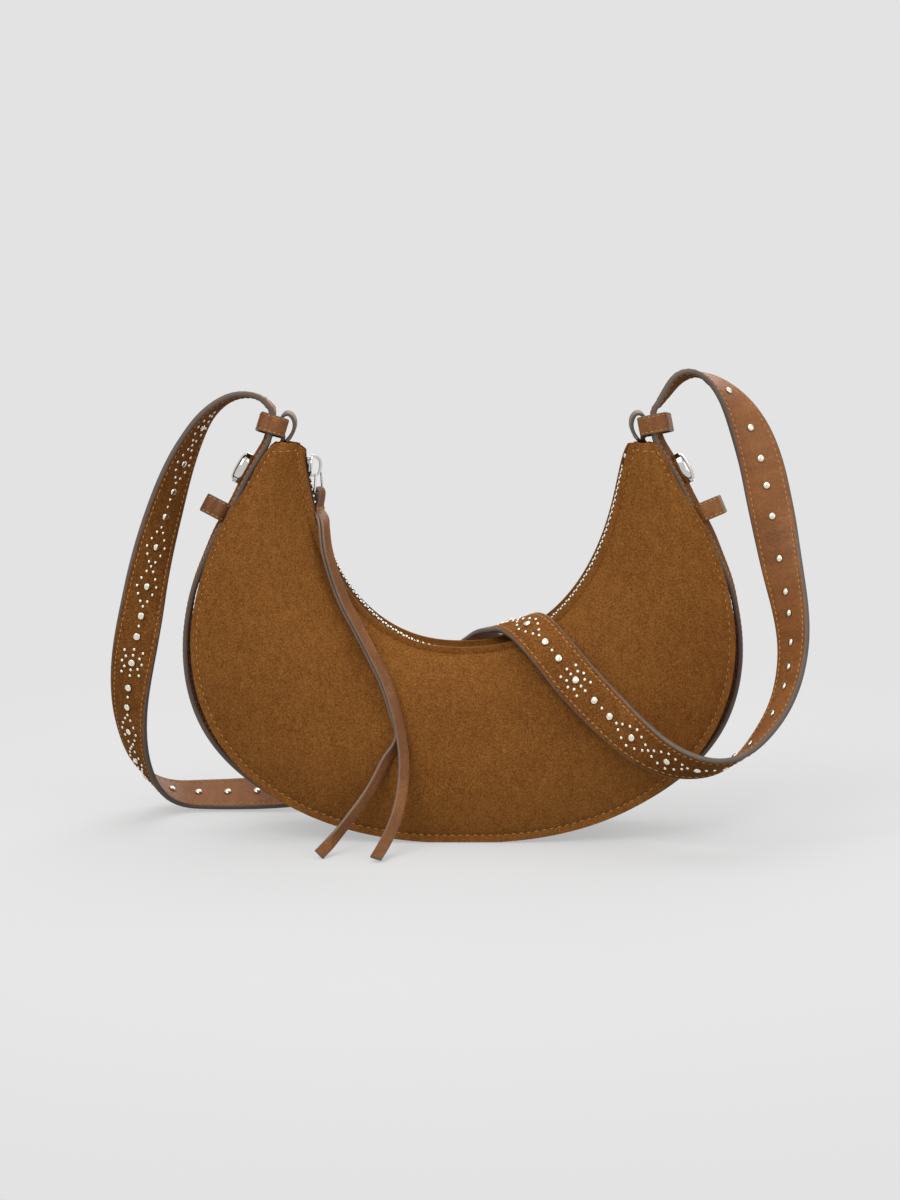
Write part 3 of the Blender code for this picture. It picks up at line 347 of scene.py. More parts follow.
def gridMesh(name, grid, finishes, choose=None, uv=None, closed=False, ring=False):
    # a lofted sheet from rows of points; choose gives each face its finish
    rows, columns = grid.shape[:2]
    shape = bmesh.new()
    verts = [[shape.verts.new(grid[i, j]) for j in range(columns)] for i in range(rows)]
    layer = shape.loops.layers.uv.new("Band") if uv is not None else None
    for i in range(rows - 1 + closed):
        for j in range(columns - 1 + ring):
            after = (j + 1) % columns
            corners = [(i, j), ((i + 1) % rows, j), ((i + 1) % rows, after), (i, after)]
            face = shape.faces.new([verts[a][b] for a, b in corners])
            face.smooth = True
            if choose:
                face.material_index = choose(i, j)
            if layer:
                for loop, (a, b) in zip(face.loops, [(i, j), (i + 1, j), (i + 1, j + 1), (i, j + 1)]):
                    loop[layer].uv = uv(a, b)
    mesh = bpy.data.meshes.new(name)
    shape.to_mesh(mesh)
    shape.free()
    piece = bpy.data.objects.new(name, mesh)
    scene.collection.objects.link(piece)
    for finish in finishes:
        mesh.materials.append(finish)
    return piece


def standsFor(piece, *nodes, body="bag"):
    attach(piece, body)
    if nodes:
        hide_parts(*nodes)
    return piece


def selectOnly(piece):
    bpy.ops.object.select_all(action="DESELECT")
    bpy.context.view_layer.objects.active = piece
    piece.select_set(True)


def applyAll(piece):
    selectOnly(piece)
    for modifier in list(piece.modifiers):
        bpy.ops.object.modifier_apply(modifier=modifier.name)
    piece.select_set(False)


def bevelled(piece, width, segments, degrees=None):
    bevel = piece.modifiers.new("edge", "BEVEL")
    bevel.width, bevel.segments, bevel.limit_method = width, segments, "ANGLE"
    if degrees:
        bevel.angle_limit = math.radians(degrees)
    applyAll(piece)
    return piece


def thickened(piece, thickness, edge=0.0, segments=2):
    solid = piece.modifiers.new("thickness", "SOLIDIFY")
    solid.thickness, solid.offset = thickness, 1.0
    solid.use_quality_normals = True
    if edge:
        bevelled(piece, edge, segments, 50)
    else:
        applyAll(piece)
    piece.data.shade_smooth()
    return piece


# ---- suede panels

panel = {"columns": 190, "stitchInset": 0.0040, "grooveDepth": 0.00045, "edgeRound": 0.0006,
         # soft bumps and hollows: x, z, radius and height
         "bumps": [(-0.060, 0.128, 0.026, 0.0016), (0.036, 0.082, 0.016, 0.0013), (0.010, 0.060, 0.024, -0.0009),
                   (-0.010, 0.088, 0.018, -0.0010), (0.105, 0.120, 0.030, 0.0011), (-0.115, 0.085, 0.028, 0.0010),
                   (0.070, 0.055, 0.022, 0.0007), (-0.048, 0.045, 0.030, 0.0008)],
         "wave": 0.0007, "waveSize": 0.042, "fullRowsFrom": 0.026, "tipRound": 0.0038, "tipReach": 0.0050,
         "slim": 0.0031, "slimAt": 0.194, "slimReach": 0.015, "leftTipSlim": 0.0022, "leftTipReach": 0.005,
         # how far the mouth's edge moves at the left and the right tip, and how far below the tips it is felt
         "tipShift": (0.0010, 0.0038), "tipShiftReach": 0.0095,
         "fullness": (0.8, 0.62), "grooveWidth": 0.0006, "bumpsFrom": 0.006, "bumpsOver": 0.03,
         # the left and the right tip's inner corner, then both outer corners, as shares of the panel's width
         "innerCorner": (1.0, 0.12), "innerCornerFrom": 0.66, "innerCornerOver": 0.34, "innerCornerPower": 1.3,
         "outerCorner": 0.3, "outerCornerOver": 0.15, "topSink": 0.0, "backTopSink": 0.0022, "sinkReach": 0.010,
         "edgeRows": np.array([0, 0.5, 1.1, 1.9, 2.8, 3.4, 3.8, 4.0, 4.2, 4.6, 5.3, 6.3, 7.8, 9.8]) / 1000}


def panelGrid(values, columns, sink=0.0, firstInset=0.0, rows=18):
    outer, mouth = outerOutline(columns), mouthOutline(columns)
    left = outer[:, 0] < 0
    slim = values["slim"] * np.exp(-(((outer[:, 1] - values["slimAt"]) / values["slimReach"]) ** 2))
    aboveTip = outer[:, 1] - bag["height"]
    slim += np.where(left, values["leftTipSlim"], 0.0) * np.exp(aboveTip / values["leftTipReach"])
    outer[:, 0] -= np.sign(outer[:, 0]) * slim
    aboveTip = mouth[:, 1] - bag["height"]
    mouth[:, 0] += np.where(left, *values["tipShift"]) * np.exp(aboveTip / values["tipShiftReach"])
    width = np.linalg.norm(mouth - outer, axis=1)
    widest = width.max()
    near = (panel["edgeRows"][:, None] * np.minimum(1.0, width / panel["fullRowsFrom"]) + firstInset) / width
    middle = np.linspace(0, 1, rows)[1:-1, None] * (1 - 2 * near[-1]) + near[-1]
    shares = np.vstack([near, middle, 1 - near[::-1]])
    rim = (bag["gussetInset"] + bag["gussetThickness"] + bag["seamGap"]) / width
    grid = np.zeros((len(shares), columns, 3))
    grid[..., 0] = outer[:, 0] + (mouth[:, 0] - outer[:, 0]) * shares
    grid[..., 2] = outer[:, 1] + (mouth[:, 1] - outer[:, 1]) * shares
    flat = np.clip((shares - rim) / (1 - 2 * rim), 0.0, 1.0)
    fullness = np.where(flat < 0.5, *values["fullness"])
    swell = bag["crown"] * width / widest * np.sin(math.pi * flat) ** fullness
    fromEdge = np.minimum(shares, 1 - shares) * width
    groove = values["grooveDepth"] * np.exp(-(((fromEdge - values["stitchInset"]) / values["grooveWidth"]) ** 2))
    soft = np.zeros_like(swell)
    for x, z, radius, height in values["bumps"]:
        soft += height * np.exp(-((grid[..., 0] - x) ** 2 + (grid[..., 2] - z) ** 2) / radius**2)
    for i in range(grid.shape[0]):
        for j in range(columns):
            at = Vector((grid[i, j, 0], 0.3, grid[i, j, 2])) / values["waveSize"]
            soft[i, j] += values["wave"] * noise.noise(at)
    soft *= np.clip((fromEdge - values["bumpsFrom"]) / values["bumpsOver"], 0, 1)
    grid[..., 1] = seamDepthAt(outer[:, 1]) + (mouthDepthAt(mouth[:, 1]) - seamDepthAt(outer[:, 1])) * flat
    grid[..., 1] += swell - groove + soft - sink
    fromTop = bag["height"] - grid[..., 2]
    inner = np.clip((shares - values["innerCornerFrom"]) / values["innerCornerOver"], 0, 1)
    corner = np.where(left, *values["innerCorner"]) * inner ** values["innerCornerPower"]
    over = values["outerCornerOver"]
    corner += values["outerCorner"] * np.clip((over - shares) / over, 0, 1) ** 2
    grid[..., 2] -= values["tipRound"] * corner * np.exp(-fromTop / values["tipReach"])
    grid[..., 2] -= values["topSink"] * np.exp(-fromTop / values["sinkReach"])
    return grid


def makePanel(name, side):
    sink = panel["topSink"] if side < 0 else panel["backTopSink"]
    grid = panelGrid(dict(panel, topSink=sink), panel["columns"]) * (1, side, 1)
    piece = gridMesh(name, grid if side < 0 else grid[::-1], [suedePanel])
    return thickened(piece, -bag["panelThickness"], panel["edgeRound"], 3)


standsFor(makePanel("panelFront", -1), "front_panel")
standsFor(makePanel("panelBack", 1), "back_panel")
print("panels made")

# ---- gusset, linings, mouth facings and zip tapes

gusset = {"capDrop": 0.0014, "rows": 9}
lining = {"gap": 0.0004, "band": 0.0006, "bandRows": 5, "seam": 0.0012, "thickness": 0.0005, "belowTips": 0.0062,
          "topSink": 0.002}


def insetOutline(count, inset):
    line = sideways(outerOutline(4 * count), -inset)
    return respaced(line[line[:, 1] <= bag["height"] - inset], count)


def bandGrid(line, depths, places):
    return np.stack([np.column_stack([line[:, 0], place * depths, line[:, 1]]) for place in places])


def makeGussets():
    inset, thick = bag["gussetInset"], bag["gussetThickness"]
    line = insetOutline(180, inset)
    corner = mouthOutline(3)[-1, 0] + inset + thick
    caps = np.linspace((corner, bag["height"] - inset), line[-1], 8)[:-1]
    caps[:, 1] -= gusset["capDrop"]
    line = np.vstack([caps * (-1, 1), line, caps[::-1]])
    depths = seamDepthAt(line[:, 1]) - bag["panelThickness"] - bag["seamGap"]
    piece = gridMesh("gussetBand", bandGrid(line, depths, np.linspace(-1, 1, gusset["rows"])), [suedePanel])
    standsFor(thickened(piece, -thick), "outer_gusset")
    inner = insetOutline(120, inset + thick + lining["gap"])
    inner = inner[inner[:, 1] <= bag["height"] - inset - 2 * thick]
    depths = seamDepthAt(inner[:, 1]) - bag["panelThickness"] - bag["seamGap"] - lining["gap"]
    piece = gridMesh("liningGusset", bandGrid(inner, depths, np.linspace(-1, 1, lining["bandRows"])), [liningCloth])
    standsFor(thickened(piece, -lining["band"]), "lining_gusset")


def makeLinings():
    inset = bag["gussetInset"] + bag["gussetThickness"] + bag["seamGap"] + lining["gap"] + lining["seam"]
    sink = bag["panelThickness"] + lining["thickness"]
    for name, side, node in (("liningFront", -1, "lining_front"), ("liningBack", 1, "lining_back")):
        grid = panelGrid(dict(panel, grooveDepth=0.0, topSink=lining["topSink"]), 90, sink, inset, 10)
        grid[..., 2] = np.minimum(grid[..., 2], bag["height"] - lining["belowTips"])
        grid = grid * (1, side, 1)
        piece = gridMesh(name, grid[::-1] if side < 0 else grid, [liningCloth])
        standsFor(thickened(piece, lining["thickness"]), node)


mouth = {"facing": 0.0010, "innerHalf": 0.0048, "tapeHalf": 0.0070, "tapeInner": 0.0018, "tape": 0.0006,
         "endMargin": 0.0035, "tuck": 0.0022, "facingEdge": 0.0003,
         # at each height, how far the zip lies under the panels' edges on the left and on the right
         "zipInset": [(0.1054, 0.0036, 0.0036), (0.112, 0.0016, 0.0026), (0.125, 0.0002, 0.0016),
                      (0.150, -0.0006, 0.0010), (0.182, -0.0009, 0.0010), (0.196, -0.0010, 0.0014),
                      (0.206, -0.0003, 0.0022), (0.218, 0.0004, 0.0040)]}


def zipLine(count, shift=0.0):
    # the zip follows the panels' mouth edges; a positive shift lies deeper in the bag
    line = mouthOutline(1200)
    heights, left, right = np.array(mouth["zipInset"]).T
    inset = np.where(line[:, 0] < 0, np.interp(line[:, 1], heights, left), np.interp(line[:, 1], heights, right))
    line = eased(sideways(line, inset), 12, 2)
    line = line[line[:, 1] <= bag["height"] - bag["gussetInset"] - mouth["endMargin"]]
    return respaced(sideways(respaced(line, 600), shift), count)


def makeBoth(name, node, back, finish, thickness, edge=0.0):
    # a sheet behind the zip and its mirror image in front of it
    for end, grid in (("Back", back), ("Front", (back * (1, -1, 1))[::-1])):
        piece = thickened(gridMesh(name + end, grid, [finish]), thickness, edge)
        standsFor(piece, node + "_" + end.lower())


def makeMouth():
    columns = 150
    level = zipLine(columns, mouth["tape"] / 2 + gap + mouth["facing"] / 2)
    edge = sideways(mouthOutline(4 * columns), bag["seamGap"] + mouth["facing"])
    edge = respaced(edge[edge[:, 1] <= level[0, 1]], columns)
    depth = mouthDepthAt(edge[:, 1]) - bag["panelThickness"] - bag["seamGap"]
    side = np.minimum(mouth["tapeHalf"] + gap, depth)
    ends = [np.column_stack([edge[:, 0], depth, edge[:, 1]]), np.column_stack([level[:, 0], side, level[:, 1]]),
            np.column_stack([level[:, 0], np.full(columns, mouth["innerHalf"]), level[:, 1]])]
    tuck = sideways(edge, mouth["tuck"]) - edge
    ends[0][:, (0, 2)] += tuck
    rows = [ends[0] + (ends[1] - ends[0]) * t for t in np.linspace(0, 1, 8)[:-1]]
    rows += [ends[1] + (ends[2] - ends[1]) * t for t in np.linspace(0, 1, 5)]
    makeBoth("facing", "mouth_facing", np.stack(rows), keeperLeather, mouth["facing"], mouth["facingEdge"])
    line = zipLine(columns, mouth["tape"] / 2)
    rows = [np.column_stack([line[:, 0], np.full(columns, y), line[:, 1]])
            for y in np.linspace(mouth["tapeHalf"], mouth["tapeInner"], 5)]
    makeBoth("tape", "zip_tape", np.stack(rows), zipCloth, mouth["tape"])


makeGussets()
makeLinings()
makeMouth()
print("gusset, linings and mouth made")

# ---- the strap: one band, as a belt under the bag and as a shoulder loop

strap = {"step": 0.0030, "beltSwell": 0.0060, "keeperHeight": 0.0104, "keeperLean": 4.0, "keeperGap": 0.0028,
         "keeperThickness": 0.0015, "edgeRound": 0.0009, "stitchInset": 0.0028, "groove": 0.00022,
         "crown": 0.00022, "clearOfGround": 0.00005,
         # the belt's turn towards the front: its size, where it starts, and its share on the right and the left
         "beltTurn": 0.20, "turnFrom": 0.10, "turnOver": 0.08, "turnShares": (1.0, 0.5)}

# place as shares of the bag's half width, seam depth and height, then the direction across the strap
shoulderRoute = [
    (-0.706, 0.00, 1.086, (-0.02, 1.00, -0.05)),
    (-0.724, 0.00, 1.102, (-0.04, 1.00, -0.09)),
    (-0.768, 0.00, 1.114, (-0.04, 0.99, -0.12)),
    (-0.818, 0.00, 1.116, (-0.03, 0.99, -0.14)),
    (-0.864, 0.00, 1.107, (0.01, 0.99, -0.15)),
    (-0.906, 0.00, 1.088, (0.07, 0.99, -0.16)),
    (-0.950, 0.00, 1.059, (0.18, 0.97, -0.15)),
    (-0.992, 0.00, 1.012, (0.32, 0.93, -0.20)),
    (-1.030, -0.04, 0.960, (0.43, 0.86, -0.28)),
    (-1.064, -0.08, 0.902, (0.55, 0.78, -0.30)),
    (-1.100, -0.11, 0.827, (0.67, 0.67, -0.31)),
    (-1.131, -0.14, 0.756, (0.76, 0.58, -0.30)),
    (-1.164, -0.17, 0.666, (0.85, 0.47, -0.25)),
    (-1.190, -0.17, 0.576, (0.94, 0.30, -0.16)),
    (-1.213, -0.14, 0.497, (1.00, 0.00, -0.04)),
    (-1.236, 0.00, 0.411, (0.94, -0.33, 0.04)),
    (-1.250, 0.21, 0.317, (0.79, -0.61, 0.03)),
    (-1.248, 0.50, 0.238, (0.65, -0.76, -0.02)),
    (-1.233, 0.86, 0.166, (0.54, -0.84, -0.09)),
    (-1.207, 1.25, 0.110, (0.45, -0.87, -0.18)),
    (-1.164, 1.64, 0.066, (0.37, -0.87, -0.32)),
    (-1.099, 1.93, 0.040, (0.30, -0.86, -0.42)),
    (-1.008, 2.02, 0.036, (0.28, -0.86, -0.43)),
    (-0.888, 2.02, 0.037, (0.26, -0.85, -0.46)),
    (-0.757, 2.00, 0.042, (0.26, -0.82, -0.51)),
    (-0.620, 1.97, 0.055, (0.30, -0.76, -0.58)),
    (-0.480, 1.92, 0.086, (0.40, -0.66, -0.64)),
    (-0.345, 1.84, 0.140, (0.55, -0.48, -0.68)),
    (-0.225, 1.74, 0.215, (0.72, -0.28, -0.63)),
    (-0.120, 1.63, 0.300, (0.86, -0.12, -0.48)),
    (-0.022, 1.47, 0.379, (0.94, -0.04, -0.26)),
    (0.069, 1.27, 0.442, (0.98, -0.02, -0.02)),
    (0.133, 0.80, 0.502, (0.97, 0.00, 0.24)),
    (0.175, 0.30, 0.528, (0.95, 0.00, 0.31)),
    (0.217, -0.27, 0.543, (0.95, 0.04, 0.33)),
    (0.263, -0.72, 0.531, (0.91, 0.14, 0.39)),
    (0.311, -0.97, 0.499, (0.84, 0.30, 0.42)),
    (0.358, -1.14, 0.463, (0.76, 0.24, 0.56)),
    (0.411, -1.33, 0.421, (0.72, 0.06, 0.68)),
    (0.472, -1.53, 0.381, (0.72, -0.02, 0.69)),
    (0.535, -1.73, 0.341, (0.70, -0.14, 0.69)),
    (0.600, -1.91, 0.302, (0.64, -0.30, 0.70)),
    (0.663, -2.06, 0.271, (0.54, -0.44, 0.72)),
    (0.722, -2.17, 0.250, (0.40, -0.56, 0.72)),
    (0.775, -2.26, 0.238, (0.25, -0.66, 0.70)),
    (0.828, -2.32, 0.231, (0.11, -0.76, 0.64)),
    (0.880, -2.35, 0.229, (0.05, -0.84, 0.54)),
    (0.932, -2.34, 0.233, (0.05, -0.90, 0.42)),
    (0.985, -2.28, 0.247, (0.10, -0.94, 0.30)),
    (1.037, -2.17, 0.273, (0.17, -0.96, 0.19)),
    (1.087, -2.02, 0.309, (0.24, -0.96, 0.14)),
    (1.134, -1.84, 0.352, (0.32, -0.94, 0.15)),
    (1.171, -1.64, 0.403, (0.41, -0.89, 0.19)),
    (1.194, -1.42, 0.459, (0.48, -0.85, 0.22)),
    (1.204, -1.22, 0.514, (0.54, -0.80, 0.24)),
    (1.201, -1.03, 0.570, (0.62, -0.74, 0.26)),
    (1.189, -0.86, 0.625, (0.71, -0.64, 0.27)),
    (1.172, -0.71, 0.683, (0.80, -0.54, 0.24)),
    (1.157, -0.58, 0.739, (0.88, -0.42, 0.21)),
    (1.139, -0.46, 0.806, (0.95, -0.25, 0.18)),
    (1.119, -0.36, 0.872, (0.99, -0.02, 0.15)),
    (1.098, -0.27, 0.938, (0.97, 0.16, 0.17)),
    (1.074, -0.20, 0.991, (0.93, 0.30, 0.19)),
    (1.040, -0.13, 1.046, (0.81, 0.56, 0.17)),
    (0.994, -0.06, 1.099, (0.59, 0.79, 0.12)),
    (0.938, 0.00, 1.139, (0.36, 0.93, 0.03)),
    (0.888, 0.00, 1.160, (0.20, 0.97, -0.08)),
    (0.844, 0.00, 1.170, (0.13, 0.97, -0.18)),
    (0.803, 0.00, 1.165, (0.15, 0.94, -0.29)),
    (0.771, 0.00, 1.146, (0.22, 0.91, -0.35)),
    (0.747, 0.00, 1.115, (0.20, 0.95, -0.24)),
    (0.722, 0.00, 1.096, (0.10, 0.99, -0.10)),
    (0.706, 0.00, 1.082, (0.05, 1.00, -0.05)),
]

# along each half of the belt from the bottom to the tip, how far it stands off the bag, as shares of beltSwell
beltDistance = [(0.00, -0.175), (0.13, -0.175), (0.30, 0.45), (0.50, 0.90), (0.70, 0.58), (0.80, 0.20), (0.88, -0.12),
                (0.94, 0.06), (1.00, 0.20)]


def beltLine(count):
    outline = outerOutline(1200)
    way = np.abs(np.linspace(-1.0, 1.0, len(outline)))
    xs, ys = np.array(beltDistance).T
    k = np.clip(np.searchsorted(xs, way, side="right") - 1, 0, len(xs) - 2)
    t = np.clip((way - xs[k]) / (xs[k + 1] - xs[k]), 0.0, 1.0)
    distance = (ys[k] + (ys[k + 1] - ys[k]) * t * t * (3 - 2 * t)) * strap["beltSwell"]
    line = sideways(outline, distance)
    line[:, 1] = np.maximum(line[:, 1], bag["strapThickness"] / 2)
    reach = strap["keeperGap"] + strap["keeperHeight"] * np.array([0, 0.25, 0.5])
    lean = math.radians(strap["keeperLean"])
    left = line[0] + reach[::-1, None] * (math.sin(lean), math.cos(lean))
    right = line[-1] + reach[:, None] * (-math.sin(lean), math.cos(lean))
    return respaced(np.vstack([left, line, right]), count)


def beltPath():
    count = 260
    line = beltLine(count)
    centre = eased(np.column_stack([line[:, 0], np.zeros(count), line[:, 1]]), 2)
    centre[:, 2] = np.maximum(centre[:, 2], bag["strapThickness"] / 2 + strap["clearOfGround"])
    # beside the tips the band turns a little, so that its outer face looks towards the front
    rise = np.clip((centre[:, 2] - strap["turnFrom"]) / strap["turnOver"], 0, 1)
    turn = strap["beltTurn"] * rise * np.sign(centre[:, 0])
    turn *= np.where(centre[:, 0] > 0, *strap["turnShares"])
    return centre, np.column_stack([-np.sin(turn), -np.cos(turn), np.zeros(count)])


def shoulderPath():
    size = np.array([bag["halfWidth"], bag["seamDepth"], bag["height"]])
    belt = beltLine(61)
    ends = []
    for here, near in ((belt[0], belt[1]), (belt[-1], belt[-2])):
        way = unit(here - near)
        ends.append([np.array([here[0] + way[0] * lead, 0, here[1] + way[1] * lead, 0, 1, 0]) for lead in
                     (gap, strap["keeperHeight"] / 4, strap["keeperHeight"] / 2 + strap["keeperThickness"])])
    rows = ends[0] + [np.concatenate([np.array([x, y, z]) * size, across]) for x, y, z, across in shoulderRoute]
    line = smoothThrough(np.array(rows + ends[1][::-1]), 8)
    line = respaced(line, int(lengthsAlong(line)[-1] / strap["step"]))
    line[:, 3:] = eased(unit(line[:, 3:]), 4, 2)
    middle = eased(line[:, :3], 2)
    line[4:-4, :3] = middle[4:-4]
    return line[:, :3], line[:, 3:]


def frameAt(along, out, place):
    along, out = Vector(along).normalized(), Vector(out).normalized()
    side = out.cross(along).normalized()
    along = side.cross(out)
    matrix = Matrix((along, side, out)).transposed().to_4x4()
    matrix.translation = Vector(place)
    return matrix


class Ribbon:
    # a strap's path, which finds a place on it from the length along and the distance across
    def __init__(self, centre, across, width, thickness, crown=0.0, ring=False):
        self.centre, self.ring = centre, ring
        self.half, self.depth, self.crown = width / 2, thickness / 2, crown
        steps = np.roll(centre, -1, axis=0) - np.roll(centre, 1, axis=0) if ring else np.gradient(centre, axis=0)
        self.along = unit(steps)
        self.across = unit(across - self.along * np.sum(across * self.along, axis=1, keepdims=True))
        self.out = np.cross(self.along, self.across)
        self.rows = [np.vstack([v, v[:1]]) if ring else v for v in (centre, self.along, self.across, self.out)]
        self.lengths = lengthsAlong(self.rows[0])
        self.total = self.lengths[-1]

    def at(self, length, across, side=1, lift=0.0):
        here, along, w, out = ([np.interp(length, self.lengths, v[:, k]) for k in range(3)] for v in self.rows)
        along, w, out = (unit(np.array(v)) for v in (along, w, out))
        level = self.depth + self.crown * (1 - (across / self.half) ** 2) + lift
        return frameAt(along, out * side, np.array(here) + w * across + out * side * level)


def bandSection(width, thickness, edge, crown=0.0, inset=0.0, groove=0.0):
    # points across and through a strap, going round, with the finish of the face after each point
    half, depth = width / 2, thickness / 2
    spread = min(0.0006, inset * 0.38)
    stops = [half - edge] + ([half - inset + spread, half - inset, half - inset - spread] if inset else [])
    stops += [half * 0.55, half * 0.25, 0.0]
    points, finishes = [], []
    for side, finish in ((1, 0), (-1, 2)):
        across = stops + [-v for v in stops[-2::-1]]
        for u in across if side > 0 else across[::-1]:
            level = depth + crown * (1 - (u / half) ** 2)
            if inset:
                level -= groove * math.exp(-(((abs(u) - half + inset) / (spread * 0.85)) ** 2))
            points.append((u, side * level))
            finishes.append(finish)
        finishes[-1] = 1
        for t in (0.2, 0.4, 0.6, 0.8):
            angle = math.pi * t
            points.append((-side * (half - edge + edge * math.sin(angle) ** 0.7), side * depth * math.cos(angle)))
            finishes.append(1)
    return np.array(points), finishes


def makeBand(name, ribbon, section, choices, finishes):
    grid = np.stack([ribbon.centre + ribbon.across * u + ribbon.out * t for u, t in section])
    around = lengthsAlong(np.vstack([section, section[:1]]))
    band = gridMesh(name, grid, finishes, lambda i, j: choices[i],
                    lambda i, j: (ribbon.lengths[j], around[i]), closed=True, ring=ribbon.ring)
    shape = bmesh.new()
    shape.from_mesh(band.data)
    ends = [e for e in shape.edges if e.is_boundary]
    if ends:
        for face in bmesh.ops.holes_fill(shape, edges=ends)["faces"]:
            face.material_index = 1
    bmesh.ops.recalc_face_normals(shape, faces=shape.faces)
    shape.to_mesh(band.data)
    shape.free()
    return band


strapSize = (bag["strapWidth"], bag["strapThickness"])
beltRibbon = Ribbon(*beltPath(), *strapSize, strap["crown"])
shoulderRibbon = Ribbon(*shoulderPath(), *strapSize, strap["crown"])
strapShape = bandSection(*strapSize, strap["edgeRound"], strap["crown"], strap["stitchInset"], strap["groove"])
strapFinishes = [suedeStrap, darkEdge, liningLeather]
standsFor(makeBand("strapBelt", beltRibbon, *strapShape, strapFinishes), "belt_face", "belt_lining")
strapShoulder = standsFor(makeBand("strapShoulder", shoulderRibbon, *strapShape, strapFinishes),
                          "shoulder_strap_face", "shoulder_strap_lining")
print("strap made")


# ---- small repeated pieces: one is modelled, then copied into place


def settled(name, master, places, finishes):
    # every copy has its own mesh, and the copies are then one piece
    shape = bmesh.new()
    for place in places:
        copy = master.data.copy()
        copy.transform(place)
        shape.from_mesh(copy)
        bpy.data.meshes.remove(copy)
    mesh = bpy.data.meshes.new(name)
    shape.to_mesh(mesh)
    shape.free()
    mesh.shade_smooth()
    for finish in finishes:
        mesh.materials.append(finish)
    piece = bpy.data.objects.new(name, mesh)
    scene.collection.objects.link(piece)
    return piece


def editing(piece):
    selectOnly(piece)
    bpy.ops.object.mode_set(mode="EDIT")


def doneEditing(piece):
    bpy.ops.object.mode_set(mode="OBJECT")
    piece.select_set(False)


def chosen(piece, test):
    # selects the faces whose middle and normal pass the test
    shape = bmesh.from_edit_mesh(piece.data)
    bpy.ops.mesh.select_mode(type="FACE")
    for face in shape.faces:
        face.select_set(bool(test(face.calc_center_median(), face.normal)))
    bmesh.update_edit_mesh(piece.data)


def smoothBy(piece, degrees):
    selectOnly(piece)
    bpy.ops.object.shade_smooth_by_angle(angle=math.radians(degrees))
    piece.select_set(False)
    return piece


def dome(name, radius, rise, segments, rings):
    # a low dome on its own flat underside
    bpy.ops.mesh.primitive_uv_sphere_add(segments=segments, ring_count=rings, radius=radius)
    piece = bpy.context.object
    piece.name = name
    editing(piece)
    bpy.ops.mesh.select_all(action="SELECT")
    bpy.ops.mesh.bisect(plane_co=(0, 0, 0), plane_no=(0, 0, 1), clear_inner=True, use_fill=True)
    bpy.ops.mesh.select_all(action="SELECT")
    bpy.ops.transform.resize(value=(1, 1, rise / radius))
    doneEditing(piece)
    return piece


studs = {"small": 0.00100, "smallRise": 0.0007, "crystal": 0.0016, "crystalRise": 0.0010, "crystalLift": 0.0003,
         "facet": 0.55, "rim": 0.0021, "rimRise": 0.0007, "rivet": 0.0021, "rivetRise": 0.0012,
         "clearOfGround": 0.0030,
         # rivets along the shoulder strap, in millimetres: an even row, then the ones that can be seen
         "evenRivets": (300.5, 730, 17.0),
         "rivets": [736.5, 758, 775, 786.5, 800.5, 817, 829, 847.5, 871, 888, 903, 920.5, 943.5],
         # each run's strap, its pattern's start, and where its studs begin and end
         "runs": [(beltRibbon, 0.012, 0.150, 0.535), (shoulderRibbon, 0.0575, 0.042, 0.440),
                  (shoulderRibbon, 0.3035, 0.447, 0.955)],
         "smallSunk": 0.00012, "sunk": 0.0001,
         # small studs round a crystal, in millimetres along and across: a diamond, the two points that end a run
         # of diamonds, and a star
         "diamond": [(-8.4, -2.0), (-8.4, 2.0), (8.4, -2.0), (8.4, 2.0), (-4.4, -4.1), (-4.4, 4.1), (4.4, -4.1),
                     (4.4, 4.1), (0, 5.6), (0, -5.6)],
         "points": [(-11.3, 0), (11.3, 0)],
         "star": [(-3.1, -3.9), (-3.1, 3.9), (3.1, -3.9), (3.1, 3.9), (-6.6, -5.2), (-6.6, 5.2), (6.6, -5.2),
                  (6.6, 5.2), (-7.9, 0), (-4.4, 0), (4.4, 0), (7.9, 0), (0, 5.7), (0, -5.7)],
         # the pattern: each ornament, and the way in millimetres to the next
         "cell": [("diamond", 22.5), ("diamond", 16.4), ("crystal", 4.6), ("small", 4.2), ("small", 5.6),
                  ("crystal", 17.4), ("diamond", 22.2), ("diamond", 16.6), ("crystal", 5.9), ("small", 5.9),
                  ("crystal", 15.4), ("star", 15.3), ("crystal", 5.9), ("small", 6.2), ("crystal", 16.5)]}


def studPlaces(start, first, last):
    # every stud's place along and across a strap: small studs, crystals
    smalls, crystals = [], []
    cell, k, length = studs["cell"], 0, start
    while length < last:
        kind, pitch = cell[k % len(cell)]
        after = cell[(k + 1) % len(cell)][0]
        if length > first:
            (smalls if kind == "small" else crystals).append((length, 0.0))
        around = studs[kind] if kind in ("diamond", "star") else []
        if kind == "diamond":
            # two diamonds side by side share the point between them
            around = around + studs["points"][:1 if after == "diamond" else 2]
        for along, across in around:
            if first < length + along / 1000 < last:
                smalls.append((length + along / 1000, across / 1000))
        length += pitch / 1000
        k += 1
    return smalls, crystals


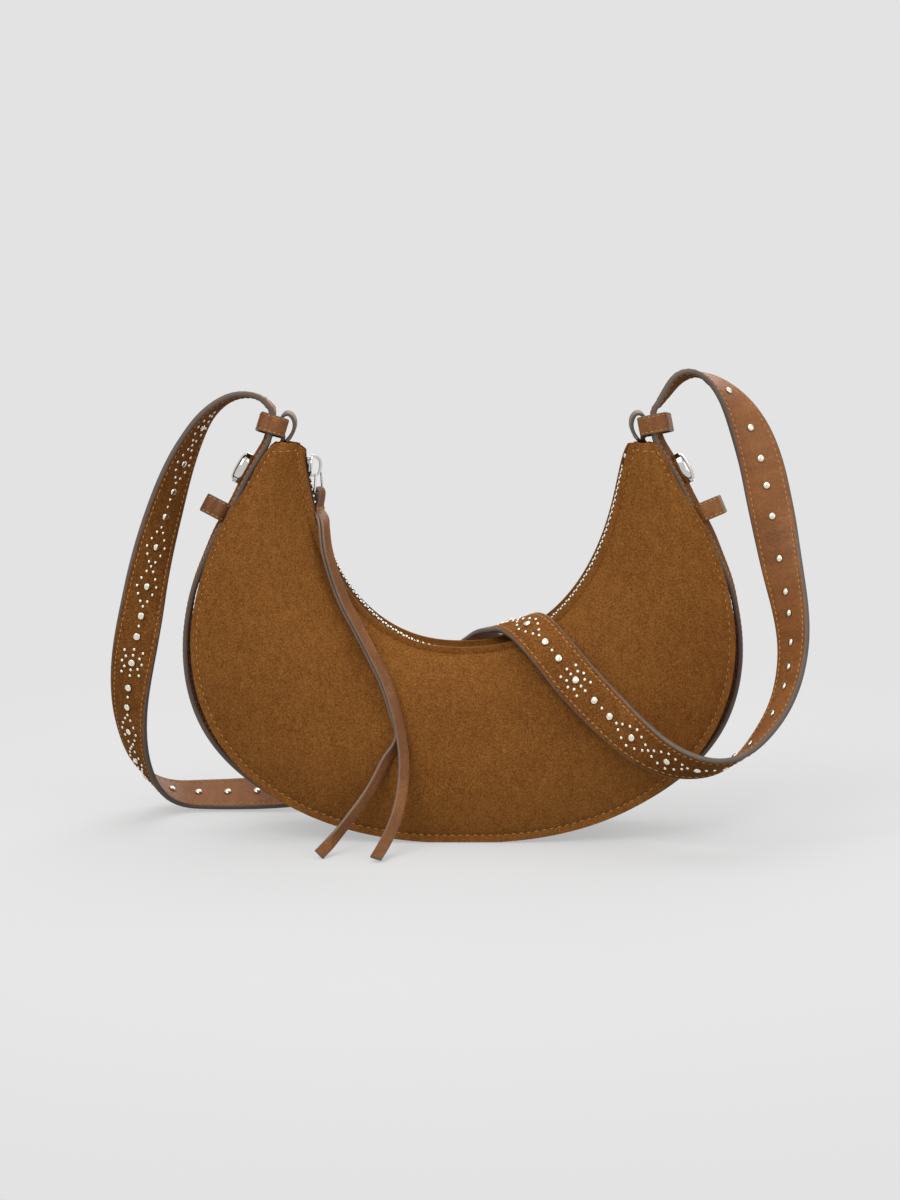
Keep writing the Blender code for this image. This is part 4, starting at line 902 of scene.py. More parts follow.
def makeStuds():
    small = dome("smallStud", studs["small"], studs["smallRise"], 8, 6)
    rim = dome("crystalRim", studs["rim"], studs["rimRise"], 14, 6)
    bpy.ops.object.select_all(action="DESELECT")
    bpy.ops.mesh.primitive_cylinder_add(vertices=8, radius=studs["crystal"], depth=studs["crystalRise"],
                                        location=(0, 0, studs["crystalRise"] / 2 + studs["crystalLift"]))
    stone = bpy.context.object
    editing(stone)
    chosen(stone, lambda middle, normal: normal.z > 0.9)
    bpy.ops.transform.resize(value=(studs["facet"], studs["facet"], 1))
    doneEditing(stone)
    smallPlaces, crystalPlaces = [], []
    for ribbon, start, first, last in studs["runs"]:
        smalls, crystals = studPlaces(start, first, last)
        smallPlaces += [ribbon.at(length, across, 1, -studs["smallSunk"]) for length, across in smalls]
        crystalPlaces += [ribbon.at(length, across, 1, -studs["sunk"]) for length, across in crystals]
    # none sits between the strap and the ground
    smallPlaces, crystalPlaces = ([place for place in places if place.translation.z > studs["clearOfGround"]]
                                  for places in (smallPlaces, crystalPlaces))
    standsFor(settled("smallStuds", small, smallPlaces, [paleMetal]))
    standsFor(settled("crystalRims", rim, crystalPlaces, [paleMetal]))
    stones = settled("crystals", stone, crystalPlaces, [crystalGlass])
    stones.data.shade_flat()
    standsFor(stones)
    rivet = dome("rivetHead", studs["rivet"], studs["rivetRise"], 14, 8)
    lengths = [*np.arange(*studs["evenRivets"]), *studs["rivets"]]
    places = [shoulderRibbon.at(length / 1000, 0.0, -1, -studs["sunk"]) for length in lengths]
    standsFor(settled("rivetHeads", rivet, places, [paleMetal]))
    for master in (small, rim, stone, rivet):
        bpy.data.objects.remove(master)


makeStuds()
print("studs, crystals and rivets made")

# ---- leather rings and loops that hold the strap

leatherFinishes = [keeperLeather, darkEdge, keeperLeather]
keeper = {"height": 0.0104, "thickness": 0.0015, "slack": 0.0005, "loopReach": 0.0140, "back": 9.0,
          "edgeRound": 0.0005, "crown": 0.0001, "groove": 0.00016,
          "sideReach": 0.0164, "belowTips": 0.0394, "stitchInset": 0.0012, "stitchPitch": 0.0026,
          "Left": {"topReach": 0.0158, "topShift": -0.0012, "topTurn": 13.0, "sideTurn": -3.0},
          "Right": {"topReach": 0.0168, "topShift": -0.0002, "topTurn": -7.0, "sideTurn": 8.0},
          # one half of the ring's outline, as shares of its half reach and half depth
          "corners": [(1.0, 0.0), (1.0, 0.62), (0.94, 0.80), (0.42, 0.97), (0.16, 0.90), (-0.22, 0.99),
                      (-0.62, 0.90), (-0.97, 0.74), (-1.0, 0.55), (-1.0, 0.0)]}


def rowFrame(k):
    # axes on one row of the belt: along it, across it, and out of its suede face
    matrix = Matrix((beltRibbon.along[k], beltRibbon.across[k], beltRibbon.out[k])).transposed().to_4x4()
    matrix.translation = Vector(beltRibbon.centre[k])
    return matrix


def beltFrame(height, side):
    rows = np.where(beltRibbon.centre[:, 0] * side > 0)[0]
    return rowFrame(rows[np.argmin(np.abs(beltRibbon.centre[rows, 2] - height))])


def endFrame(side):
    return rowFrame(0 if side < 0 else -1)


def tipped(matrix, back, turn):
    # turned where it is: its rear side down, and a little in the picture's plane
    place = matrix.translation.copy()
    turned = Matrix.Rotation(math.radians(-back), 4, "X") @ Matrix.Rotation(math.radians(turn), 4, "Y") @ matrix
    turned.translation = place
    return turned


def ringPath(reach, depth, shift, matrix):
    # a soft folded ring: a polygon of leather facets whose corners are rounded off
    quarter = [(a * (reach - keeper["thickness"]) / 2, b * (depth - keeper["thickness"]) / 2)
               for a, b in keeper["corners"]]
    corners = np.array(quarter + [(a, -b) for a, b in quarter[-2:0:-1]] + quarter[:1])
    line = respaced(np.column_stack([corners, np.zeros(len(corners))]), 241)[:-1]
    for _ in range(2):
        line = sum(np.roll(line, k, axis=0) for k in range(-3, 4)) / 7
    line = line[::4]
    return np.array([matrix @ Vector((0.0, -b, a + shift)) for a, b, _ in line])


def makeKeeper(name, node, reach, shift, matrix):
    depth = bag["strapWidth"] + 2 * (keeper["slack"] + keeper["thickness"])
    path = ringPath(reach, depth, shift, matrix)
    across = np.tile(np.array(matrix.col[0])[:3], (len(path), 1))
    ring = Ribbon(path, across, keeper["height"], keeper["thickness"], keeper["crown"], ring=True)
    shape = bandSection(keeper["height"], keeper["thickness"], keeper["edgeRound"], keeper["crown"],
                        keeper["stitchInset"], keeper["groove"])
    standsFor(makeBand(name, ring, *shape, leatherFinishes), node)
    return ring


def makeKeepers():
    rings = []
    for word, side in (("Left", -1), ("Right", 1)):
        values = keeper[word]
        rings.append(makeKeeper("topKeeper" + word, "top_keeper_" + word.lower(), values["topReach"],
                                values["topShift"], tipped(endFrame(side), keeper["back"], values["topTurn"])))
        matrix = beltFrame(bag["height"] - keeper["belowTips"], side)
        place = np.array([matrix.translation.x, matrix.translation.z])
        seat = np.linalg.norm(insetOutline(400, bag["gussetInset"]) - place, axis=1).min() - gap
        matrix = tipped(matrix, keeper["back"], values["sideTurn"])
        rings.append(makeKeeper("sideKeeper" + word, "side_keeper_" + word.lower(), keeper["sideReach"],
                                keeper["sideReach"] / 2 - seat, matrix))
    return rings


# shares: the loop's line inside its keeper, as inward reach and rise
tipLoop = {"width": 0.0160, "thickness": 0.0018, "edgeRound": 0.0007, "crown": 0.0001, "feetOut": 0.0022,
           "shares": [(0.54, -0.61), (0.45, -0.40), (0.42, -0.10), (0.42, 0.20), (0.46, 0.44), (0.55, 0.60),
                      (0.69, 0.65), (0.84, 0.54), (0.94, 0.31), (0.97, 0.02), (0.92, -0.28), (0.86, -0.47)]}


def makeTipLoops():
    for word, side in (("Left", -1), ("Right", 1)):
        matrix = endFrame(side)
        points = [np.array(matrix @ Vector((side * rise * keeper["height"], 0.0, -inner * keeper["loopReach"])))
                  for inner, rise in tipLoop["shares"]]
        middle = side * ((bag["tipHalfWidth"] + mouthOutline(3)[-1, 0]) / 2 + tipLoop["feetOut"])
        apart = (tipLoop["thickness"] + gap) / 2
        low = bag["height"] - bag["gussetInset"] + 2 * gap + tipLoop["thickness"] / 2
        feet = [np.array([middle + side * shift, 0.0, low]) for shift in (apart, -apart)]
        path = smoothThrough(np.vstack([feet[0], points, feet[1]]), 8)
        path = eased(respaced(path, 90), 2)
        across = np.tile([0.0, float(side), 0.0], (len(path), 1))
        size = (tipLoop["width"], tipLoop["thickness"])
        shape = bandSection(*size, tipLoop["edgeRound"], tipLoop["crown"])
        band = Ribbon(path, across, *size, tipLoop["crown"])
        standsFor(makeBand("tipLoop" + word, band, *shape, [darkEdge] * 3), "tip_loop_" + word.lower())


keeperRings = makeKeepers()
makeTipLoops()
print("keepers and loops made")

# ---- oval studs on the belt's flanks

oval = {"length": 0.0180, "width": 0.0118, "wall": 0.0040, "belowTips": 0.0160, "lift": 0.0004,
        "step": 0.00022, "shoulder": 0.0003, "seat": (0.43, 0.41), "seatHeight": 0.0005,
        "post": 0.0016, "back": 0.0040, "backThickness": 0.0010, "buttonRise": 0.0006,
        # the dome, ring by ring: the share of the ring before, and the rise
        "dome": [(0.97, 0.0005), (0.95, 0.00045), (0.92, 0.0004), (0.87, 0.00035), (0.78, 0.0003), (0.6, 0.0002),
                 (0.3, 0.00008)]}


def ovalMaster():
    # a wall with a rounded shoulder, a fine step, then the dome
    bpy.ops.object.select_all(action="DESELECT")
    bpy.ops.mesh.primitive_cylinder_add(vertices=48, radius=1, depth=oval["wall"], end_fill_type="NGON",
                                        location=(0, 0, oval["wall"] / 2 + oval["lift"]))
    piece = bpy.context.object
    piece.name = "ovalStud"
    bpy.ops.object.transform_apply(location=True)
    editing(piece)
    chosen(piece, lambda middle, normal: normal.z > 0.9)
    bpy.ops.mesh.inset(thickness=0.045)
    bpy.ops.transform.translate(value=(0, 0, -oval["step"]))
    bpy.ops.mesh.inset(thickness=0.02)
    for share, rise in oval["dome"]:
        bpy.ops.mesh.extrude_region_move(TRANSFORM_OT_translate={"value": (0, 0, rise)})
        bpy.ops.transform.resize(value=(share, share, 1))
    bpy.ops.mesh.select_all(action="SELECT")
    bpy.ops.transform.resize(value=(oval["length"] / 2, oval["width"] / 2, 1))
    doneEditing(piece)
    return bevelled(piece, oval["shoulder"], 3, 50)


def disc(name, radius, low, high, segments=32, edge=0.0):
    bpy.ops.object.select_all(action="DESELECT")
    bpy.ops.mesh.primitive_cylinder_add(vertices=segments, radius=radius, depth=high - low,
                                        location=(0, 0, (low + high) / 2))
    piece = bpy.context.object
    piece.name = name
    bpy.ops.object.transform_apply(location=True)
    return bevelled(piece, edge, 3) if edge else piece


def makeOvalStuds():
    half = bag["strapThickness"] / 2
    top = ovalMaster()
    seat = disc("studSeat", 1.0, 0.0, oval["seatHeight"])
    seat.data.transform(Matrix.Diagonal((oval["length"] * oval["seat"][0], oval["width"] * oval["seat"][1], 1, 1)))
    post = disc("studPost", oval["post"], -2 * half - oval["seatHeight"], 0.0)
    back = disc("studBack", oval["back"], -oval["backThickness"], 0.0, 40, oval["shoulder"])
    button = dome("studButton", oval["post"], oval["buttonRise"], 16, 8)
    for word, side in (("Left", -1), ("Right", 1)):
        matrix = beltFrame(bag["height"] - oval["belowTips"], side)
        outside = matrix @ Matrix.Translation((0, 0, half + strap["crown"]))
        inside = matrix @ Matrix.Translation((0, 0, -half - strap["crown"] - 0.0001))
        standsFor(smoothBy(settled("ovalStud" + word, top, [outside], [nickel]), 42), "oval_stud_" + word.lower())
        standsFor(smoothBy(settled("studSeat" + word, seat, [outside], [darkMetal]), 40))
        standsFor(smoothBy(settled("studPost" + word, post, [outside], [darkMetal]), 40))
        standsFor(smoothBy(settled("studBack" + word, back, [inside], [nickel]), 40), "stud_back_" + word.lower())
        flipped = inside @ Matrix.Translation((0, 0, -oval["backThickness"])) @ Matrix.Rotation(math.pi, 4, "X")
        standsFor(smoothBy(settled("studButton" + word, button, [flipped], [darkMetal]), 40))
    for master in (top, seat, post, back, button):
        bpy.data.objects.remove(master)


makeOvalStuds()
print("oval studs made")

# ---- stitches: short threads that dip into the leather at both ends

stitch = {"length": 0.0022, "pitch": 0.0033, "panelPitch": 0.0042, "thread": 0.00034, "slant": 5.0, "sunk": 0.0001}
slanted = Matrix.Rotation(math.radians(stitch["slant"]), 4, "Z")


def stitchMaster():
    bpy.ops.object.select_all(action="DESELECT")
    bpy.ops.mesh.primitive_uv_sphere_add(segments=6, ring_count=6, radius=stitch["thread"],
                                         rotation=(0, math.pi / 2, 0))
    bpy.ops.object.transform_apply(rotation=True)
    piece = bpy.context.object
    editing(piece)
    bpy.ops.mesh.select_all(action="SELECT")
    bpy.ops.transform.resize(value=(stitch["length"] / stitch["thread"] / 2, 1, 1))
    doneEditing(piece)
    return piece


def evenSteps(total, pitch):
    count = int(total / pitch)
    return (np.arange(count) + 0.5) * total / count


def alongLine(points, normals, pitch):
    # frames at even steps on a line, a little turned like a slanted stitch
    lengths = lengthsAlong(points)
    places = []
    for length in evenSteps(lengths[-1], pitch):
        here, ahead, back = (np.array([np.interp(length + d, lengths, points[:, k]) for k in range(3)])
                             for d in (0, 0.0005, -0.0005))
        out = np.array([np.interp(length, lengths, normals[:, k]) for k in range(3)])
        places.append(frameAt(ahead - back, out, here) @ slanted)
    return places


def panelSeam(side):
    # the stitch line runs round the whole panel, up one edge, across the tip and down the other
    grid = panelGrid(dict(panel, grooveDepth=0.0), panel["columns"]) * (1, side, 1)
    across, along = np.gradient(grid, axis=0), np.gradient(grid, axis=1)
    normal = unit(np.cross(across, along))
    normal *= np.sign(normal[..., 1:2]) * side
    row = int(np.argmin(np.abs(panel["edgeRows"] - panel["stitchInset"])))
    last = grid.shape[0] - 1 - row
    lengths = np.abs(grid[row, :, 2] - bag["height"])
    inner = [j for j in range(grid.shape[1]) if lengths[j] > panel["stitchInset"] or 20 < j < grid.shape[1] - 20]
    first, end = inner[0], inner[-1]
    seam = [(row, j) for j in range(first, end + 1)] + [(i, end) for i in range(row + 1, last)]
    seam += [(last, j) for j in range(end, first - 1, -1)] + [(i, first) for i in range(last - 1, row - 1, -1)]
    points = np.array([grid[i, j] for i, j in seam])
    normals = np.array([normal[i, j] for i, j in seam])
    return points + normals * (bag["panelThickness"] - stitch["sunk"]), normals


def makeStitches():
    master = stitchMaster()
    for name, side in (("panelStitchesFront", -1), ("panelStitchesBack", 1)):
        points, normals = panelSeam(side)
        standsFor(settled(name, master, alongLine(points, normals, stitch["panelPitch"]), [goldThread]))
    places = []
    inset = bag["strapWidth"] / 2 - strap["stitchInset"]
    for ribbon in (beltRibbon, shoulderRibbon):
        for length in evenSteps(ribbon.total, stitch["pitch"]):
            for across in (-inset, inset):
                for side in (1, -1):
                    places.append(ribbon.at(length, across, side, -strap["groove"] / 2) @ slanted)
    standsFor(settled("strapStitches", master, places, [goldThread]))
    places = []
    inset = keeper["height"] / 2 - keeper["stitchInset"]
    for ring in keeperRings:
        places += [ring.at(length, across, 1, -0.00005) @ Matrix.Diagonal((0.85, 0.85, 0.85, 1))
                   for length in evenSteps(ring.total, keeper["stitchPitch"]) for across in (-inset, inset)]
    standsFor(settled("keeperStitches", master, places, [goldThread]))
    bpy.data.objects.remove(master)


makeStitches()
print("stitches made")

# ---- the zip: its teeth and their bead, the end stop, the slider and the link

zipPull = {"tooth": (0.0013, 0.0035, 0.0023), "pitch": 0.0034, "pastMiddle": 0.0008, "bead": (0.0010, 0.0015),
           "beadEdge": 0.0004, "stop": 0.0022, "stopWidth": 0.0044, "rise": 0.0170,
           "length": 0.0110, "halfWidth": 0.0043, "plate": 0.0012, "plateEdge": 0.00035,
           "channel": 0.0017, "flange": 0.0008, "archLength": 0.0122, "archHole": 0.0042, "archBar": 0.0016,
           "archWidth": 0.0022, "archRound": 2.6, "wire": 0.0012, "linkTop": 0.0058, "linkBottom": 0.0090,
           "linkLength": 0.0108, "linkTwist": 26.0, "pivotArch": 0.0108, "hang": 0.0030,
           # a tooth's head and its tip as shares of its legs, then the hollow in its two faces
           "headSize": (0.82, 1, 0.8), "tipSize": (0.62, 1, 0.7), "tipRise": 0.0003, "hollow": 0.00030,
           "hollowSize": (1, 1, 0.72), "toothEdge": 0.00018,
           "flangeLength": 0.0062, "flangeWall": 0.0008, "flangeIn": 0.0006, "flangeLap": 0.0004,
           "flangeEdge": 0.00025, "wedge": (0.0026, 0.0020), "wedgeBack": 0.0036, "wedgeLap": 0.001,
           "wedgeEdge": 0.0004, "archEdge": 0.0005, "archFoot": 0.0008}
sliderAngle = -math.asin(zipPull["rise"] / bag["zipRadius"])
# the slider's direction down the zip, the direction of its upper side, and its place
sliderPlace = frameAt((-0.10, 0, -1), (1, 0, -0.10), (-0.0850, 0, 0.2045))


def zipFrame(angle, radius):
    x, z = -radius * math.cos(angle), bag["zipHeight"] - radius * math.sin(angle)
    return frameAt((math.sin(angle), 0, -math.cos(angle)), (math.cos(angle), 0, math.sin(angle)), (x, 0, z))


def block(name, size, place=(0, 0, 0), edge=0.0, segments=2):
    bpy.ops.object.select_all(action="DESELECT")
    bpy.ops.mesh.primitive_cube_add(size=1, location=place, scale=size)
    piece = bpy.context.object
    piece.name = name
    bpy.ops.object.transform_apply(location=True, scale=True)
    return bevelled(piece, edge, segments) if edge else piece


def toothMaster():
    # legs over the tape, a narrower head past the middle, and a hollow in the face
    length, across, height = zipPull["tooth"]
    piece = block("tooth", (length, across, height), (0, across / 2 - zipPull["pastMiddle"], 0))
    editing(piece)
    chosen(piece, lambda middle, normal: normal.y < -0.9)
    bpy.ops.transform.resize(value=zipPull["headSize"])
    bpy.ops.mesh.extrude_region_move(TRANSFORM_OT_translate={"value": (0, -zipPull["tipRise"], 0)})
    bpy.ops.transform.resize(value=zipPull["tipSize"])
    chosen(piece, lambda middle, normal: abs(normal.z) > 0.9)
    bpy.ops.mesh.inset(thickness=zipPull["hollow"], use_individual=True)
    bpy.ops.transform.resize(value=zipPull["hollowSize"])
    doneEditing(piece)
    return bevelled(piece, zipPull["toothEdge"], 2, 25)


def makeTeeth():
    tooth = toothMaster()
    line = zipLine(400)
    middle = np.column_stack([line[:, 0], np.zeros(400), line[:, 1]])
    track = Ribbon(middle, np.tile([0.0, 1.0, 0.0], (400, 1)), 0.01, 0.0)
    below = np.argmax(line[:, 1] < sliderPlace.translation.z - zipPull["length"] / 2 - gap)
    first, last = track.lengths[below], track.total - 2 * zipPull["stop"]
    for word, side, shift in (("Front", -1, 0.25), ("Back", 1, 0.75)):
        steps = first + (np.arange(int((last - first) / zipPull["pitch"])) + shift) * zipPull["pitch"]
        turn = Matrix.Rotation(0.0 if side > 0 else math.pi, 4, "Z")
        teeth = settled("teeth" + word, tooth, [track.at(length, 0.0) @ turn for length in steps], [paleMetal])
        standsFor(smoothBy(teeth, 50), "zip_teeth_" + word.lower())
        line = zipLine(150)
        path = np.column_stack([line[:, 0], np.full(len(line), side * mouth["tapeInner"] * 0.8), line[:, 1]])
        bead = Ribbon(path, np.tile([0.0, 1.0, 0.0], (len(path), 1)), *zipPull["bead"])
        section = bandSection(*zipPull["bead"], zipPull["beadEdge"])
        standsFor(makeBand("bead" + word, bead, *section, [zipCloth] * 3))
    bpy.data.objects.remove(tooth)
    stop = block("stopMaster", (zipPull["stop"], zipPull["stopWidth"], zipPull["tooth"][2]), edge=0.0005, segments=3)
    piece = settled("zipEndStop", stop, [track.at(track.total - zipPull["stop"], 0.0)], [nickel])
    standsFor(smoothBy(piece, 50), "zip_end_stop")
    bpy.data.objects.remove(stop)


def joined(name, pieces, matrix, finish):
    # primitives made at the origin, brought together as one piece in its place
    bpy.ops.object.select_all(action="DESELECT")
    for piece in pieces:
        piece.select_set(True)
    bpy.context.view_layer.objects.active = pieces[0]
    bpy.ops.object.join()
    piece = settled(name, pieces[0], [matrix], [finish])
    bpy.data.objects.remove(pieces[0])
    return smoothBy(piece, 45)


def sliderPlate(level):
    # an oval plate with a rounded edge
    size = zipPull
    piece = disc("plate", 1.0, level - size["plate"] / 2, level + size["plate"] / 2, 40)
    piece.data.transform(Matrix.Diagonal((size["length"] / 2, size["halfWidth"], 1, 1)))
    return bevelled(piece, size["plateEdge"], 3)


def makeSlider():
    size = zipPull
    level = size["channel"] + size["plate"] / 2
    parts = [sliderPlate(level), sliderPlate(-level)]
    lip = size["channel"] - size["flange"]
    for side in (-1, 1):
        for up in (-1, 1):
            place = (0, side * (size["halfWidth"] - size["flangeIn"]), up * (size["channel"] + lip) / 2)
            wall = (size["flangeLength"], size["flangeWall"], size["flange"] + size["flangeLap"])
            parts.append(block("flange", wall, place, size["flangeEdge"]))
    wedge = (*size["wedge"], 2 * size["channel"] + size["wedgeLap"])
    parts.append(block("wedge", wedge, (-size["wedgeBack"], 0, 0), size["wedgeEdge"]))
    angles = np.linspace(0, math.pi, 41)
    half, rise = (size["archLength"] - size["archBar"]) / 2, size["archHole"] + size["archBar"] / 2
    arch = rounded(angles, half, rise, size["archRound"])
    arch = eased(respaced(np.column_stack([arch[:, 0], np.zeros(41), arch[:, 1]]), 41), 1)
    foot = (0, 0, size["archFoot"])
    arch = np.vstack([arch[0] - foot, arch, arch[-1] - foot])
    arch[:, 2] += size["channel"] + size["plate"] / 2
    bar = Ribbon(arch, np.tile([0.0, 1.0, 0.0], (len(arch), 1)), size["archWidth"], size["archBar"])
    section = bandSection(size["archWidth"], size["archBar"], size["archEdge"])
    parts.append(makeBand("arch", bar, *section, []))
    standsFor(joined("zipSlider", parts, sliderPlace, nickel), "zip_slider", body="slider")


def linkPlace():
    # the middle of the link's top bar, low in the slider's arch, and the bar's direction
    size = zipPull
    clear = size["wire"] / 2 + gap
    twist = math.radians(size["linkTwist"])
    rest = size["channel"] + size["plate"] / 2 + size["archHole"] - clear
    low = size["pivotArch"] / 2 - 2 * size["archBar"] - clear - size["archWidth"] / 2 * math.tan(twist)
    pivot = zipFrame(sliderAngle, bag["zipRadius"]) @ Vector((low, 0.0, rest - gap))
    return np.array(pivot), np.array([math.sin(twist), math.cos(twist), 0.0])


def makeLink():
    pivot, bar = linkPlace()
    top, bottom, length = zipPull["linkTop"] / 2, zipPull["linkBottom"] / 2, zipPull["linkLength"]
    corners = np.array([(-top, 0.0), (top, 0.0), (bottom, length), (-bottom, length), (-top, 0.0)])
    line = respaced(np.column_stack([corners, np.zeros(5)]), 97)[:-1]
    for _ in range(3):
        line = sum(np.roll(line, k, axis=0) for k in range(-1, 2)) / 3
    data = bpy.data.curves.new("link", "CURVE")
    data.dimensions, data.bevel_depth, data.bevel_resolution = "3D", zipPull["wire"] / 2, 4
    spline = data.splines.new("POLY")
    spline.points.add(len(line) - 1)
    for point, (a, b, _) in zip(spline.points, line):
        point.co = (*(pivot + bar * a - np.array([0, 0, b + zipPull["hang"]])), 1.0)
    spline.use_cyclic_u = True
    wire = bpy.data.objects.new("pullerLink", data)
    scene.collection.objects.link(wire)
    selectOnly(wire)
    bpy.ops.object.convert(target="MESH")
    wire.data.materials.append(nickel)
    wire.data.shade_smooth()
    standsFor(wire, "puller_link", body="link")


makeTeeth()
makeSlider()
makeLink()
print("zip made")

# ---- the thong: one strip folded over the link's lower bar, its two tails before the bag

thong = {"width": 0.0065, "thickness": 0.0016, "crown": 0.0001, "neck": 0.0070, "edge": 0.0004, "rowDrop": 0.0128,
         "cut": 0.024, "rowHalf": 0.0024, "rowSlope": 0.9, "rowTurns": (42, 62), "rowLift": 0.00008,
         # the two tails: shares of the bag's half width, seam depth and height, then a turn in degrees;
         # the back tail follows the front one behind it for the first stations
         "shared": 9,
         "front": [
             (-0.506, -0.52, 0.803, -60.0), (-0.495, -0.63, 0.739, -54.0), (-0.466, -0.70, 0.668, -48.0),
             (-0.428, -0.77, 0.602, -43.0), (-0.375, -0.88, 0.536, -40.0), (-0.325, -1.01, 0.473, -38.0),
             (-0.280, -1.14, 0.412, -37.0), (-0.248, -1.25, 0.346, -37.0), (-0.225, -1.37, 0.277, -37.0),
             (-0.216, -1.52, 0.207, -35.0), (-0.225, -1.74, 0.142, -31.0), (-0.251, -2.00, 0.079, -25.0),
             (-0.291, -2.32, 0.030, -18.0), (-0.314, -2.64, 0.012, -15.0)],
         "back": [
             (-0.277, -1.34, 0.226, -38.0), (-0.338, -1.52, 0.151, -39.0), (-0.412, -1.77, 0.085, -39.0),
             (-0.481, -2.05, 0.033, -38.0), (-0.520, -2.34, 0.012, -37.0)]}


def tailStations(rows):
    size = np.array([bag["halfWidth"], bag["seamDepth"], bag["height"]])
    rows = np.array(rows)
    turns = np.radians(rows[:, 3])
    return np.hstack([rows[:, :3] * size, np.stack([np.cos(turns), -np.sin(turns), 0 * turns], axis=1)])


def thongPath():
    pivot, bar = linkPlace()
    low = pivot - np.array([0, 0, zipPull["linkLength"] + zipPull["hang"]])
    side = np.array([bar[1], -bar[0], 0.0])
    fold = zipPull["wire"] / 2 + 2 * gap + thong["thickness"] / 2
    turn = [np.concatenate([low + side * fold * math.cos(a) + np.array([0, 0, fold * math.sin(a)]), bar])
            for a in np.linspace(0, math.pi, 5)]
    neck = thong["thickness"] / 2 + gap
    frontNeck, backNeck = ([np.concatenate([low + side * sign * apart - np.array([0, 0, drop]), bar])
                            for drop, apart in ((thong["neck"] * 0.45, fold * 0.94), (thong["neck"], neck))]
                           for sign in (1, -1))
    front = tailStations(thong["front"])
    way = unit(np.gradient(front[:, :3], axis=0))
    behind = unit(np.cross(way, front[:, 3:]))
    behind *= np.sign(behind[:, 1:2])
    shared = front[:thong["shared"]].copy()
    shared[:, :3] += behind[:thong["shared"]] * (thong["thickness"] + 2 * gap)
    back = np.vstack([shared, tailStations(thong["back"])])
    rows = np.vstack([front[::-1], frontNeck[::-1], turn, backNeck, back])
    line = respaced(smoothThrough(rows, 8), 420)
    line[:, 3:] = unit(line[:, 3:])
    return line, int(np.argmax(line[:, 2]))


def makeThong():
    line, fold = thongPath()
    lengths = lengthsAlong(line)
    first = int(np.searchsorted(lengths, lengths[fold] - thong["cut"]))
    last = int(np.searchsorted(lengths, lengths[fold] + thong["cut"]))
    size = (thong["width"], thong["thickness"])
    section = bandSection(*size, thong["edge"], thong["crown"])
    finishes = [thongLeather, thongEdge, thongLeather]
    whole = Ribbon(line[:, :3], line[:, 3:], *size, thong["crown"])
    for name, start, end in (("thongFront", 0, first + 1), ("thongHead", first, last + 1),
                             ("thongBack", last, len(line))):
        rows = slice(start, end)
        part = Ribbon(line[rows, :3], line[rows, 3:], *size, thong["crown"])
        for key in ("centre", "along", "across", "out"):
            setattr(part, key, getattr(whole, key)[rows])
        part.lengths = whole.lengths[rows]
        piece = smoothBy(makeBand(name, part, *section, finishes), 50)
        if name == "thongHead":
            tuple(line[fold, :3] - (0, 0, 0.003))
            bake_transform(piece)
            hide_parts("puller_thong")
        else:
            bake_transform(piece)
            float(part.lengths[-1] - part.lengths[0])
    return whole, lengths[fold]


def makeHeadStitches():
    # a slanted row of stitches that holds the fold together
    master = stitchMaster()
    middle = foldLength - thong["rowDrop"]
    side = 1 if thongRibbon.at(middle, 0.0).col[2].y < 0 else -1
    places = [thongRibbon.at(middle + across * thong["rowSlope"], across, side, thong["rowLift"])
              @ Matrix.Rotation(math.radians(turn), 4, "Z") @ Matrix.Diagonal((0.8, 1.1, 1.1, 1))
              for across in np.linspace(-thong["rowHalf"], thong["rowHalf"], 4) for turn in thong["rowTurns"]]
    row = settled("headStitches", master, places, [goldThread])
    start, end = (tuple(thongRibbon.at(length, 0.0, 1).translation) for length in (foldLength, middle - 0.004))
    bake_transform(row)
    bpy.data.objects.remove(master)


thongEdge = edgePaint("thongEdge", fromScreen(108, 90, 76), fromScreen(142, 122, 106))
thongRibbon, foldLength = makeThong()
makeHeadStitches()
print("thong made")

# ---- floor, light and camera

# plain is the background's tone, and glow the strength of the world's light on the bag
stage = {"size": 12.0, "drop": 0.00002, "plain": 0.768, "glow": 0.43, "floor": 0.34, "lit": 1.0, "near": 0.22,
         "far": 0.60, "bounce": 0.30}
# each lamp's place, what it looks at, its size and its power
lamps = {"key": ((-0.9, -1.5, 1.7), (0, 0, 0.1), (1.4, 1.4), 26),
         "fill": ((1.6, -1.2, 0.9), (0, 0, 0.1), (1.6, 1.6), 9),
         "top": ((0.1, 0.3, 2.1), (0, 0, 0.0), (2.0, 2.0), 16),
         "back": ((0.5, 1.6, 0.9), (0, 0, 0.15), (1.4, 1.0), 6)}
# the focal length is in pixels of a picture of that height
view = {"tilt": 9.0, "away": 1.6, "target": (-0.00706, -0.020, 0.1331), "sensor": 36, "focal": 2946.6,
        "pictureHeight": 1200}


def seenRays(tree):
    # 1 for what the camera sees, directly or through glass and metal
    path = tree.nodes.new("ShaderNodeLightPath")
    camera, glossy, through = (Flow(tree, path.outputs[name]) for name in
                               ("Is Camera Ray", "Is Glossy Ray", "Is Transmission Ray"))
    return camera.sum("MAXIMUM", glossy).sum("MAXIMUM", through)


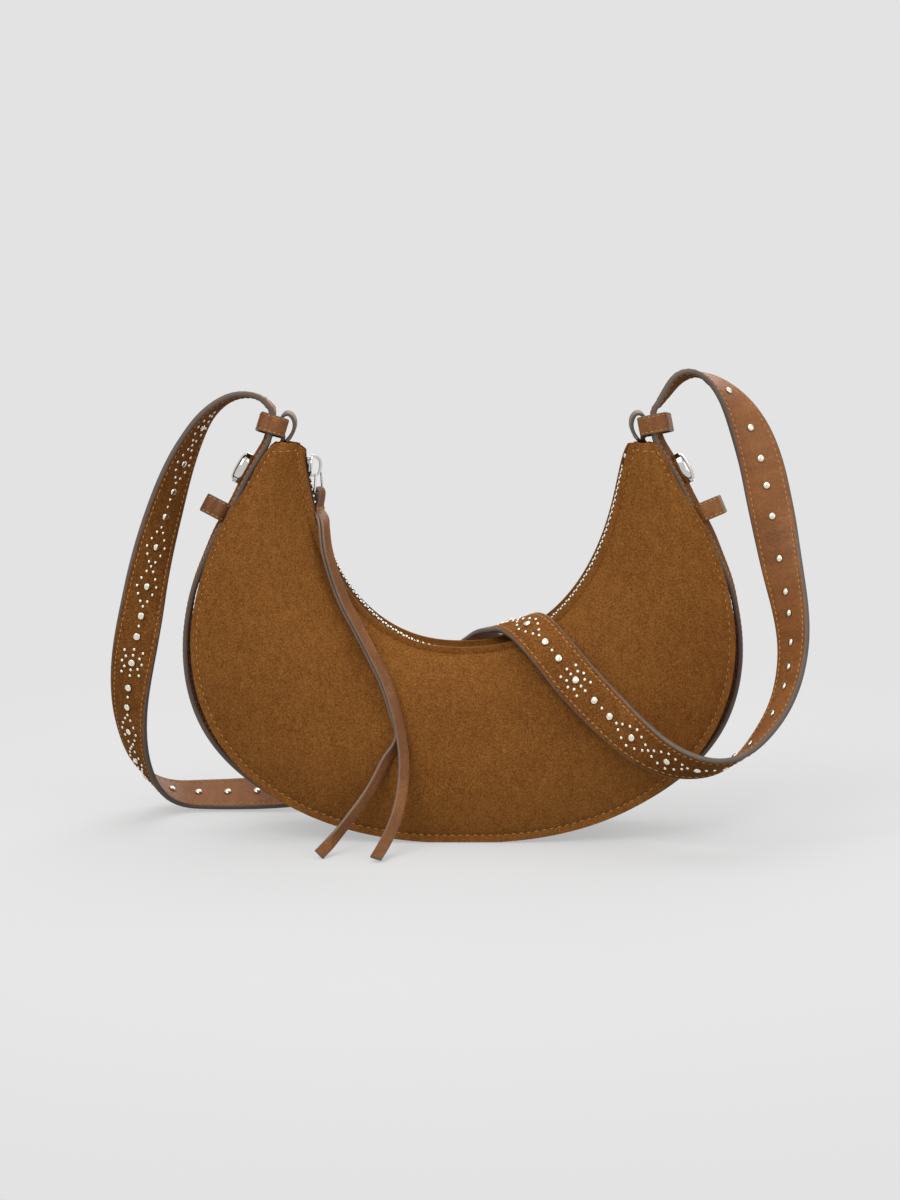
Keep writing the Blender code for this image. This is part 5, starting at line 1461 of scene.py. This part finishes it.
def makeStage():
    # a plain pale floor that keeps the object's soft shadow
    bpy.ops.mesh.primitive_plane_add(size=stage["size"], location=(0, 0, -stage["drop"]))
    floor = bpy.context.object
    floor.name = "floor"
    # part of its tone is its own, so that it meets the background without an edge
    finish = Finish("floorPaint", Roughness=0.95, Specular_IOR_Level=0.0)
    seen = seenRays(finish.tree)
    away = finish.add("ShaderNodeVectorMath", {"operation": "LENGTH"}, 1, at0=finish.place())
    near = finish.add("ShaderNodeMapRange", {"interpolation_type": "SMOOTHSTEP"}, at0=away, at1=stage["near"],
                      at2=stage["far"], at3=stage["floor"], at4=0.0)
    finish.put(finish.shader, "Emission_Strength", 1.0)
    own = seen * (near * -stage["lit"] + stage["plain"])
    floor.data.materials.append(finish.use(Base_Color=seen * near + (1.0 - seen) * stage["bounce"],
                                           Emission_Color=own))


def addLight(name, place, target, size, power):
    data = bpy.data.lights.new(name, "AREA")
    data.shape, data.size, data.size_y, data.energy = "RECTANGLE", *size, power
    light = bpy.data.objects.new(name, data)
    scene.collection.objects.link(light)
    light.location = place
    light.rotation_euler = (Vector(target) - Vector(place)).to_track_quat("-Z", "Y").to_euler()


def makeCamera():
    data = bpy.data.cameras.new("camera")
    tilt = math.radians(view["tilt"])
    camera = bpy.data.objects.new("camera", data)
    scene.collection.objects.link(camera)
    camera.location = Vector(view["target"]) - view["away"] * Vector((0, math.cos(tilt), -math.sin(tilt)))
    camera.rotation_euler = (math.radians(90) - tilt, 0, 0)
    data.sensor_fit, data.sensor_width, data.sensor_height = "VERTICAL", view["sensor"], view["sensor"]
    data.lens = view["sensor"] * view["focal"] / view["pictureHeight"]
    data.clip_start = 0.01
    scene.camera = camera


def makeWorld():
    world = bpy.data.worlds.new("studio")
    scene.world = world
    world.use_nodes = True
    glow = seenRays(world.node_tree) * (stage["plain"] - stage["glow"]) + stage["glow"]
    background = world.node_tree.nodes["Background"]
    background.inputs["Color"].default_value = (1, 1, 1, 1)
    world.node_tree.links.new(glow.socket, background.inputs["Strength"])


makeStage()
for name, values in lamps.items():
    addLight(name, *values)
makeCamera()
makeWorld()
scene.view_settings.view_transform = "Standard"
scene.render.film_transparent = False

print("scene made")
